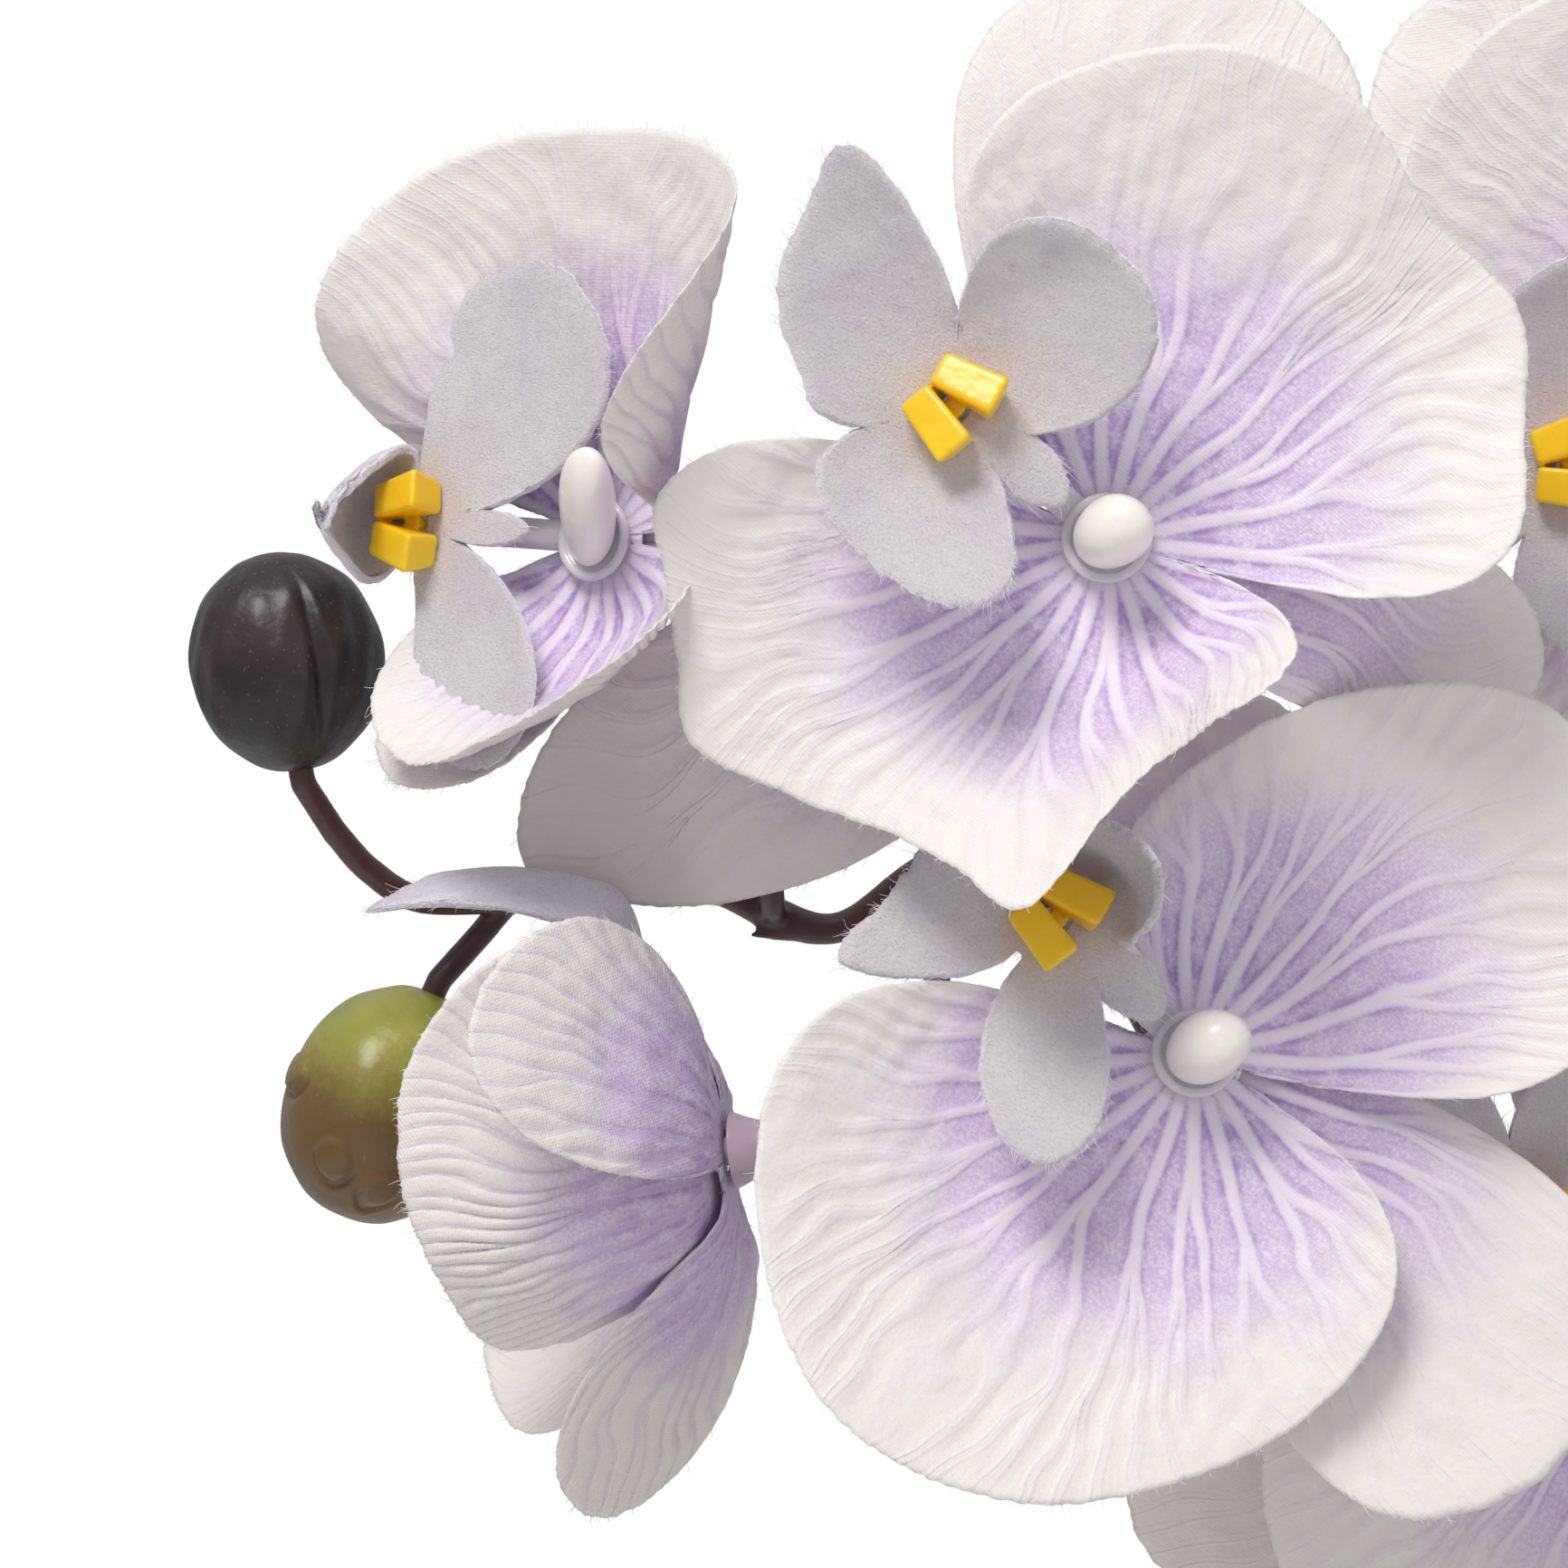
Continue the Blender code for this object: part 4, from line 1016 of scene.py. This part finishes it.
def roundness(points, middle, axis):
    """How unevenly points stand round an axis through the middle: 0 for a turned shape."""
    across = points - middle
    across = across - np.outer(across @ axis, axis)
    spreads = np.linalg.eigvalsh(np.cov(across.T))
    return (spreads[2] - spreads[1]) / spreads[2]


# Outlines as (radius, height)
KNOB_MM = [
    (0, 10.4), (1.2, 10.2), (2.3, 9.4), (3.0, 7.9), (3.25, 6.0), (3.15, 4.4), (2.9, 3.0), (2.6, 2.3),
    (1.4, 2.0), (0, 1.95),
]
KNOB_FOOT = 2 * MM


def build_knob(letter, turn, seed, lean_by):
    """The milky knob that stands on the pin, slightly lopsided from its mould."""
    draw = np.random.default_rng(seed)
    lean, twist = draw.uniform(0.2, 0.55), draw.uniform(0, 2 * pi)

    def shaped(radius, height, theta):
        uneven = 0.05 * np.cos(theta * 2 + twist) + 0.035 * np.cos(theta * 3 + twist * 2) * (height / 10)
        return radius * (1 + uneven), height + 0.10 * lean * radius * np.cos(theta - twist)

    mesh = turned_mesh(f"knob_{letter}", KNOB_MM, 48, shaped=shaped)
    for vert in mesh.vertices:
        above = max(vert.co.z - KNOB_FOOT, 0)
        vert.co += Vector((lean_by[0], lean_by[1], 0)) * above
    add_piece(f"knob_{letter}", mesh, "knob", [f"flower_{letter}_column"], turn)


def edges_of(verts):
    return list({edge for vert in verts for edge in vert.link_edges})


def build_pin(letter, turn):
    """The clear pin: a dished flange, the arm that carries the lip, and the shank in the socket."""
    flange = [
        (0, 1.9), (2.7, 1.9), (3.2, 2.2), (3.7, 2.3), (3.95, 2.0), (3.8, 1.5), (3.2, 1.15), (1.4, 1.05),
        (1.4, -4.2), (0, -4.3),
    ]
    mesh = turned_mesh(f"pin_{letter}", flange, 48, per_span=3)
    bm = bmesh.new()
    bm.from_mesh(mesh)
    made = bmesh.ops.create_cube(bm, size=1)["verts"]
    inner, outer = Vector((3.0, 0, 1.55)) * MM, Vector((LIP_REACH + 1.5 * MM, 0, LIP_LEVEL - 1.3 * MM))
    for vert in made:
        middle = outer if vert.co.x > 0 else inner
        vert.co = middle + Vector((0, vert.co.y * 2.8 * MM, vert.co.z * 0.8 * MM))
    bmesh.ops.bevel(bm, geom=edges_of(made), offset=0.25 * MM, segments=3, affect="EDGES")
    bm.to_mesh(mesh)
    bm.free()
    mesh.shade_smooth()
    add_piece(f"pin_{letter}", mesh, "pin", [f"flower_{letter}_column"], turn)


def build_callus(letter, turn):
    """Two blunt yellow blocks side by side, melted into one moulding, on a peg through the velvet."""
    foot = LIP_LEVEL + VELVET / 2
    bm = bmesh.new()
    apex = LIP_REACH + 2.6 * MM
    for side in (-1, 1):
        made = bmesh.ops.create_cube(bm, size=1)["verts"]
        for vert in made:
            tip = vert.co.x < 0
            wide = (3.3 if vert.co.z > 0 else 2.6) * (1.15 if tip else 1.0) * MM
            high = (4.3 if tip else 2.6) * MM if vert.co.z > 0 else 0
            vert.co = Vector((-BLOCK_LENGTH if tip else 0.6 * MM, vert.co.y * wide, high))
        splay = Matrix.Rotation(radians(-side * BLOCK_SPLAY), 4, "Z")
        splay = splay @ Matrix.Rotation(radians(-side * BLOCK_TILT), 4, "X")
        place = Matrix.Translation((apex, side * BLOCK_ASIDE, foot)) @ splay
        bmesh.ops.transform(bm, matrix=place, verts=made)
        bmesh.ops.bevel(bm, geom=edges_of(made), offset=0.55 * MM, segments=4, affect="EDGES", profile=0.6)
    peg = bmesh.ops.create_cone(
        bm, cap_ends=True, segments=16, radius1=0.9 * MM, radius2=0.9 * MM, depth=2.4 * MM
    )
    bmesh.ops.translate(bm, verts=peg["verts"], vec=(LIP_REACH, 0, LIP_LEVEL))
    mesh = bpy.data.meshes.new(f"callus_{letter}")
    bm.to_mesh(mesh)
    bm.free()
    made = add_piece(f"callus_{letter}", mesh, "callus", [f"flower_{letter}_callus"], turn)
    melt_together(made, 0.16 * MM, 0.6, 4)


def build_socket(letter, turn):
    profile = [
        (1.7, -1.3), (3.3, -1.3), (3.35, -1.7), (2.8, -3.0), (2.45, -4.4), (2.4, -7.5), (2.55, -8.6),
        (2.5, -9.8), (2.2, -10), (1.7, -10), (1.7, -1.3),
    ]
    mesh = turned_mesh(f"socket_{letter}", profile, 40, per_span=3)
    add_piece(f"socket_{letter}", mesh, "socket", [f"flower_{letter}_socket"], turn)


def build_flower(flower, number):
    letter, turn = flower.letter, flower_frame(flower.letter)
    seed = 100 * number
    build_knob(letter, turn, seed, flower.knob_lean)
    build_pin(letter, turn)
    build_callus(letter, turn)
    build_socket(letter, turn)
    draw = np.random.default_rng(seed + 50)
    strands = []
    share = 1 if flower.fine else 0.6
    for part, lobes, layer, paint, count, length_mm in (
        ("petals", flower.petals, PETAL_LAYER, "cloth", 260, 0.7),
        ("sepals", flower.sepals, SEPAL_LAYER, "cloth", 220, 0.8),
        ("lip", flower.lip_lobes, LIP_LAYER, "velvet", 420, 0.9),
    ):
        seed += 7
        layer = replace(layer, columns=int(layer.columns * share), rows=int(layer.rows * share))
        cad_node = f"flower_{letter}_{part}"
        middle = cloth_layer(f"{part}_{letter}", lobes, layer, seed, paint, cad_node, turn)
        strands += fringe(middle, turn, int(count * share), length_mm, draw)
    name = f"fringe_{letter}"
    add_piece(name, rods_curve(name, strands, STRAND_RADIUS, 0), "fibre")


# -------------------------------------------------------------- stem and buds

STEM_ROUTE_MM = [
    (0, 0, 29), (0, 0, 80), (0, 0, 128), (3, 1, 170), (6, 4, 225), (8, 8, 282), (5, 12, 330), (-5, 16, 366),
    (-26, 18, 384), (-52, 19, 389), (-80, 19, 388), (-102, 18, 385), (-119, 18, 382), (-139.7, 18, 377.5),
    (-150.5, 18, 371.3), (-161.3, 18, 375), (-171, 17, 376.5), (-180.5, 14, 374.5), (-188.8, 9, 374.2),
    (-193.5, 6, 377), (-196.6, 3.5, 380.6),
]
FINE_SPAN = 12
COARSE_SPAN = 2
BUD_ROUTE_MM = [(-183.8, 14.4, 370.6)]
BUD_FORK = 34
BRACTS = (12, 15, 19, 21, 24, 26, 29, 34)


@dataclass
class Bud:
    name: str
    at_mm: tuple
    axis: tuple
    profile_mm: list


BUDS = [
    Bud(
        "bud_upper", (-200.9, 0, 396.2), (-0.14, -0.1, 1),
        [
            (0, 10.2), (1.6, 10.0), (3.8, 9.2), (6.9, 6.6), (8.5, 2.6), (8.7, -1.4), (7.4, -5.6), (4.6, -8.6),
            (2.3, -9.8), (0, -10),
        ],
    ),
    Bud(
        "bud_lower", (-192.2, 14, 355.2), (-0.42, 0, -1),
        [
            (0, 11.6), (2.4, 11.4), (4.9, 10.2), (8, 7), (9.6, 2), (9.3, -3), (7.2, -7.4), (4, -10),
            (2.2, -10.8), (0, -11),
        ],
    ),
]


def bud_frame(bud):
    turn = Vector(bud.axis).to_track_quat("Z", "Y").to_matrix().to_4x4()
    return Matrix.Translation(Vector(bud.at_mm) * MM) @ turn


def bud_end(bud, depth):
    return bud_frame(bud) @ Vector((0, 0, bud.profile_mm[-2][1] * MM + depth))


def creased(radius, height, theta):
    """Three closed sepals: a seam between each two, and a slight keel along each."""
    body = ramp(height, -9.5, -6) * (1 - ramp(height, 8.5, 10))
    seam = sum(np.exp(-((wrapped(theta - turn) / 0.085) ** 2)) for turn in (4.1, 6.1, 1.9))
    keel = sum(np.exp(-((wrapped(theta - turn) / 0.40) ** 2)) for turn in (5.1, 0.8, 3.0))
    ripple = 0.02 * np.sin(theta * 9 + height * 0.5) + 0.012 * np.sin(theta * 17 - height * 0.7)
    return radius * (1 + body * (0.045 * keel - 0.075 * seam + 0.5 * ripple)), height


# Of the lower bud: turn in radians, level and width in mm, and +1 for a scale or -1 for a dent
SCALES = (
    (3.6, 2.5, 2.2, 1), (4.4, 7.2, 2.6, 1), (5.3, 4.6, 2.0, -1), (1.2, 0.5, 2.4, 1), (2.4, 5.0, 2.0, 1),
    (5.1, 1.5, 2.3, 1), (0.3, 6.5, 2.3, 1), (5.9, 7.5, 2.3, 1),
)


def tabbed(radius, height, theta):
    """A round bud with small moulded scales and a few dents."""
    made = radius * (1 + 0.02 * np.sin(theta * 3 + 1) + 0.012 * np.sin(theta * 7 + height * 0.4))
    for turn, level, width, sense in SCALES:
        across = wrapped(theta - turn) * 9
        down = height - level
        inside = np.sqrt(across**2 + (down * 1.1) ** 2) / width
        tab = (1 - ramp(inside, 0.72, 1.0)) * (0.6 + 0.4 * ramp(down, -width, width))
        moat = np.exp(-(((inside - 1.12) / 0.16) ** 2)) * ramp(down, -0.2 * width, 0.5 * width)
        made = made + sense * 0.60 * tab - 0.55 * moat * (sense > 0)
    return made, height


def build_buds():
    for bud, shaped in zip(BUDS, (creased, tabbed)):
        mesh = turned_mesh(bud.name, bud.profile_mm, 180, per_span=12, shaped=shaped)
        add_piece(f"{bud.name}_skin", mesh, bud.name, [bud.name], bud_frame(bud))


def build_stem():
    """The stem, its stalks, bracts and thorn as one moulding."""
    upper, lower = BUDS
    route = [Vector(point) * MM for point in STEM_ROUTE_MM]
    coarse, path = smooth_path(route, COARSE_SPAN), smooth_path(route, FINE_SPAN)
    ratio = FINE_SPAN // COARSE_SPAN
    path += [bud_end(upper, -1.5 * MM), bud_end(upper, 2.7 * MM)]
    radii = np.linspace(STEM_FOOT_RADIUS, STEM_TIP_RADIUS, len(path))
    knots = sum(np.exp(-(((np.arange(len(path)) - joint * ratio) / 4.0) ** 2)) for joint in BRACTS)
    rods = [(path, radii * 0.90 + 0.30 * MM * knots)]
    for flower in FLOWERS:
        turn = flower_frame(flower.letter)
        start, end = coarse[flower.joins], turn @ Vector((0, 0, SOCKET_END - 1.5 * MM))
        facing = turn.to_3x3() @ Vector((0, 0, 1))
        line = arc_path(start, Vector(flower.leave_mm) * MM, end, facing * STALK_LEAD, 24)
        line.append(turn @ Vector((0, 0, STALK_END)))
        rods.append((line, np.full(len(line), STALK_RADIUS * 0.9)))
    way = [Vector(point) * MM for point in BUD_ROUTE_MM]
    line = smooth_path([coarse[BUD_FORK], *way, bud_end(lower, -1.5 * MM)], 12)
    line.append(bud_end(lower, 2.7 * MM))
    rods.append((line, np.full(len(line), STALK_RADIUS * 0.9)))
    for k, joint in enumerate(BRACTS):
        at = path[joint * ratio]
        along = (path[joint * ratio + 3] - path[joint * ratio - 3]).normalized()
        out = Vector((0.3 * sin(k * 2.1), 0.25 * cos(k * 1.7), 1 if k % 2 else -0.7)).normalized()
        thorn = [at + (out * up + along * on) * MM for up, on in ((0.8, -1.5), (2.0, 0.6), (3.2, 2.6))]
        rods.append((smooth_path(thorn, 6), np.linspace(1.25, 0.22, 13) * MM))

    guide = bpy.data.objects.new("stem_line", rods_curve("stem_line", rods, 1, 4))
    bpy.context.scene.collection.objects.link(guide)
    bpy.context.view_layer.update()
    mesh = bpy.data.meshes.new_from_object(guide.evaluated_get(bpy.context.evaluated_depsgraph_get()))
    bpy.data.objects.remove(guide)
    mesh.materials.clear()
    made = add_piece("stem_moulding", mesh, "stem", ["main_stem"])
    melt_together(made, 0.34 * MM, 0.7, 5)


# ------------------------------------------------------ pot, bark, crown, leaves

LEAVES = [  # name, direction, height of the foot, length, width (mm), slope at the foot, droop by the tip
    ("leaf_1", 12, 113, 175, 50, 34, 62),
    ("leaf_2", 168, 116, 165, 48, 30, 56),
    ("leaf_3", 88, 114, 140, 46, 40, 70),
    ("leaf_4", 236, 115, 150, 48, 26, 54),
    ("leaf_5", 304, 113, 158, 50, 32, 60),
]


def build_leaf(name, direction, foot_mm, length_mm, width_mm, rise, droop, number):
    """A strap leaf: a folded foot, a channel along the midrib, and a slightly waved edge."""
    columns, rows = 130, 41
    along = np.linspace(0, 1, columns)[:, None] * np.ones((1, rows))
    across = np.linspace(-1, 1, rows)[None, :] * np.ones((columns, 1))
    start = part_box("leaf_crown")[1].x + 2 * MM
    length = length_mm * MM
    steps = np.linspace(0, 1, 201)
    slope = np.radians(rise - droop * steps**1.3)
    out = np.concatenate([[0], np.cumsum(np.cos(slope[1:]))]) * length / 200
    up = np.concatenate([[0], np.cumsum(np.sin(slope[1:]))]) * length / 200
    widest = width_mm * MM
    opening = LEAF_FOOT_WIDTH + (widest - LEAF_FOOT_WIDTH) * ramp(along, 0, 0.45)
    closing = np.sqrt(np.clip(1 - np.clip((along - 0.45) / 0.55, 0, 1) ** 3.2, 0, 1))
    half = np.maximum(opening * closing, LEAF_TIP_WIDTH) / 2
    fold = radians(24) * (1 - 0.5 * along)
    tilt = np.interp(along, steps, slope)
    y = across * half * np.cos(fold)
    wave = 0.9 * MM * np.sin(along * 17 + number * 1.9 + across) * np.abs(across) ** 3 * ramp(along, 0.1, 0.3)
    groove = -0.7 * MM * np.exp(-((y / (1.6 * MM)) ** 2)) * (1 - 0.7 * along) * ramp(along, 0, 0.1)
    rise_up = np.abs(across) ** 1.5 * half * np.sin(fold) + wave + groove
    x = start + np.interp(along, steps, out) - rise_up * np.sin(tilt)
    z = foot_mm * MM + np.interp(along, steps, up) + rise_up * np.cos(tilt)
    turn = radians(direction)
    middle = np.stack([x * cos(turn) - y * sin(turn), x * sin(turn) + y * cos(turn), z], axis=2)[:, ::-1]
    thick = LEAF_THICKNESS / 2 * (1 - 0.75 * np.abs(across) ** 6) * (1 - 0.6 * ramp(along, 0.93, 1))
    flat = np.stack([(1 - along) * length / MM, across * half / MM, 0 * along], axis=2)[:, ::-1]
    mesh = shell_mesh(name, middle, thick[:, ::-1], False, flat=flat.reshape(-1, 3))
    add_piece(f"{name}_blade", mesh, "leaf", [name])


def build_pot():
    low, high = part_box("pot")
    radius, height = (high.x - low.x) / 2 / MM, (high.z - low.z) / MM
    foot, wall, floor = POT_FOOT_MM, POT_WALL_MM, POT_FLOOR_MM
    top_in = radius - wall
    profile = [
        (0, floor), (foot - wall, floor), (top_in, height - 2.5), (top_in + 0.7, height - 0.7),
        (radius - 2.5, height), (radius - 0.7, height - 0.7), (radius, height - 2.5),
        (radius - 1.0, height - 7), (foot, 3.2), (foot - 0.9, 0.9), (foot - 3, 0), (foot - 6, 0), (foot - 7, 1), (0, 1),
    ]
    mesh = turned_mesh("pot_glazed", profile, 160, per_span=1)
    made = add_piece("pot_glazed", mesh, "pot", ["pot"])
    round_off = made.modifiers.new("Round edges", "BEVEL")
    round_off.width = 0.8 * MM
    round_off.segments = 3
    round_off.limit_method = "ANGLE"
    round_off.angle_limit = radians(18)


def build_crown():
    """The sheath that the leaves grow from, with overlapping folded feet."""
    low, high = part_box("leaf_crown")
    radius, top, foot = high.x / MM, high.z / MM, low.z / MM

    def folded(r, height, theta):
        folds = 0.5 + 0.5 * np.sin(theta * 5 + 0.05 * height)
        return r * (1 - 0.10 * (1 - folds**0.5) * (r > 3)), height

    profile = [
        (2.9, top), (radius - 3.6, top - 0.6), (radius - 1.4, top - 3), (radius - 0.1, top - 7),
        (radius, foot + 6), (radius, foot), (2.9, foot), (2.9, top),
    ]
    mesh = turned_mesh("crown_sheath", profile, 120, per_span=5, shaped=folded)
    count = len(mesh.vertices)
    mesh.attributes.new("side", "FLOAT", "POINT").data.foreach_set("value", np.zeros(count, np.float32))
    place = mesh.attributes.new("flat", "FLOAT_VECTOR", "POINT")
    place.data.foreach_set("vector", np.tile([60.0, 5.0, 0.0], count).astype(np.float32))
    add_piece("crown_sheath", mesh, "leaf", ["leaf_crown"])


def build_bark():
    """Loose chips over the bark layer."""
    low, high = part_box("bark_topping")
    draw = np.random.default_rng(21)
    bm = bmesh.new()
    tone = bm.verts.layers.float.new("tone")
    for _ in range(BARK_CHIPS):
        radius = np.sqrt(draw.uniform(0.05, 0.86)) * high.x
        turn = draw.uniform(0, 2 * pi)
        size_mm = draw.uniform(0.55, 1.15) * np.array(CHIP_MM)
        made = bmesh.ops.create_icosphere(bm, subdivisions=3, radius=0.5)["verts"]
        shade = float(draw.uniform(0, 1) ** 1.4)
        offset = Vector(draw.uniform(-50, 50, 3))
        for vert in made:
            p = vert.co.copy()
            boxy = Vector([np.sign(c) * abs(c * 2) ** 0.62 / 2 for c in p])
            rough = 1 + 0.30 * noise.noise(p * 3.1 + offset) + 0.14 * noise.noise(p * 9 + offset)
            vert.co = Vector([c * rough * s * MM for c, s in zip(boxy, size_mm)])
            vert[tone] = shade
        height = high.z - (high.z - low.z) * 0.38 * (radius / high.x) ** 2 + draw.uniform(-0.5, 2.4) * MM
        place = Matrix.Translation((radius * cos(turn), radius * sin(turn), height))
        tilt = Matrix.Rotation(draw.normal(0, 0.32), 4, "X") @ Matrix.Rotation(draw.normal(0, 0.32), 4, "Y")
        spin = Matrix.Rotation(draw.uniform(0, 2 * pi), 4, "Z")
        bmesh.ops.transform(bm, matrix=place @ tilt @ spin, verts=made)
    mesh = bpy.data.meshes.new("bark_chips")
    bm.to_mesh(mesh)
    bm.free()
    mesh.shade_smooth()
    add_piece("bark_chips", mesh, "bark")


def dress_cad_nodes():
    """Finishes of the CAD nodes that stay in sight."""
    for node, paint in (("pot_filler", "filler"), ("bark_topping", "bark")):
        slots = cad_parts[node].data.materials
        slots.clear()
        slots.append(PAINTS[paint])


# --------------------------------------------------------------- camera and light


def build_stage():
    mesh = bpy.data.meshes.new("floor")
    bm = bmesh.new()
    bmesh.ops.create_grid(bm, x_segments=1, y_segments=1, size=FLOOR_RADIUS)
    bm.to_mesh(mesh)
    bm.free()
    floor = bpy.data.objects.new("floor", mesh)
    bpy.context.scene.collection.objects.link(floor)
    mesh.materials.append(floor_paint())

    world = bpy.data.worlds.new("studio")
    bpy.context.scene.world = world
    world.use_nodes = True
    tree = world.node_tree
    backdrop = tree.nodes["Background"]
    backdrop.inputs["Color"].default_value = (1, 1, 1, 1)
    backdrop.inputs["Strength"].default_value = 1.0
    ambient = tree.nodes.new("ShaderNodeBackground")
    ambient.inputs["Color"].default_value = (0.97, 0.97, 1.0, 1)
    direction = tree.nodes.new("ShaderNodeSeparateXYZ")
    tree.links.new(tree.nodes.new("ShaderNodeTexCoord").outputs["Generated"], direction.inputs[0])
    strength = Field(tree, direction.outputs[2]) * 0.22 + 0.44
    tree.links.new(strength.socket, ambient.inputs["Strength"])
    seen = tree.nodes.new("ShaderNodeLightPath")
    choose = tree.nodes.new("ShaderNodeMixShader")
    tree.links.new(seen.outputs["Is Camera Ray"], choose.inputs[0])
    tree.links.new(ambient.outputs[0], choose.inputs[1])
    tree.links.new(backdrop.outputs[0], choose.inputs[2])
    tree.links.new(choose.outputs[0], tree.nodes["World Output"].inputs["Surface"])

    def lamp(name, place, target, side, power, colour):
        light = bpy.data.lights.new(name, "AREA")
        light.shape = "SQUARE"
        light.size = side
        light.energy = power
        light.color = colour
        made = bpy.data.objects.new(name, light)
        bpy.context.scene.collection.objects.link(made)
        made.location = place
        made.rotation_euler = (Vector(target) - Vector(place)).to_track_quat("-Z", "Y").to_euler()

    spray = (-0.12, 0, 0.37)
    lamp("key", (-0.66, -1.05, 1.75), spray, 0.70, 23, (1.0, 0.97, 0.94))
    lamp("fill", (0.9, -1.2, 0.5), spray, 1.2, 2, (0.97, 0.97, 1.0))


def build_camera():
    """A long lens, level with the spray and looking along +Y, close on the end of the spray."""
    camera = bpy.data.objects.new("camera", bpy.data.cameras.new("camera"))
    bpy.context.scene.collection.objects.link(camera)
    bpy.context.scene.camera = camera
    x, z = FRAME_MIDDLE
    camera.location = (x, -CAMERA_DISTANCE, z)
    camera.rotation_euler = (radians(90), 0, 0)
    camera.data.sensor_width = SENSOR_MM
    camera.data.lens = SENSOR_MM * CAMERA_DISTANCE / FRAME_WIDTH
    camera.data.clip_start = 0.01
    bpy.context.scene.view_settings.view_transform = "Standard"


build_camera()
build_stage()
for number, flower in enumerate(FLOWERS, 1):
    build_flower(flower, number)
build_stem()
build_buds()
for number, leaf in enumerate(LEAVES):
    build_leaf(*leaf, number)
build_pot()
build_crown()
build_bark()
dress_cad_nodes()
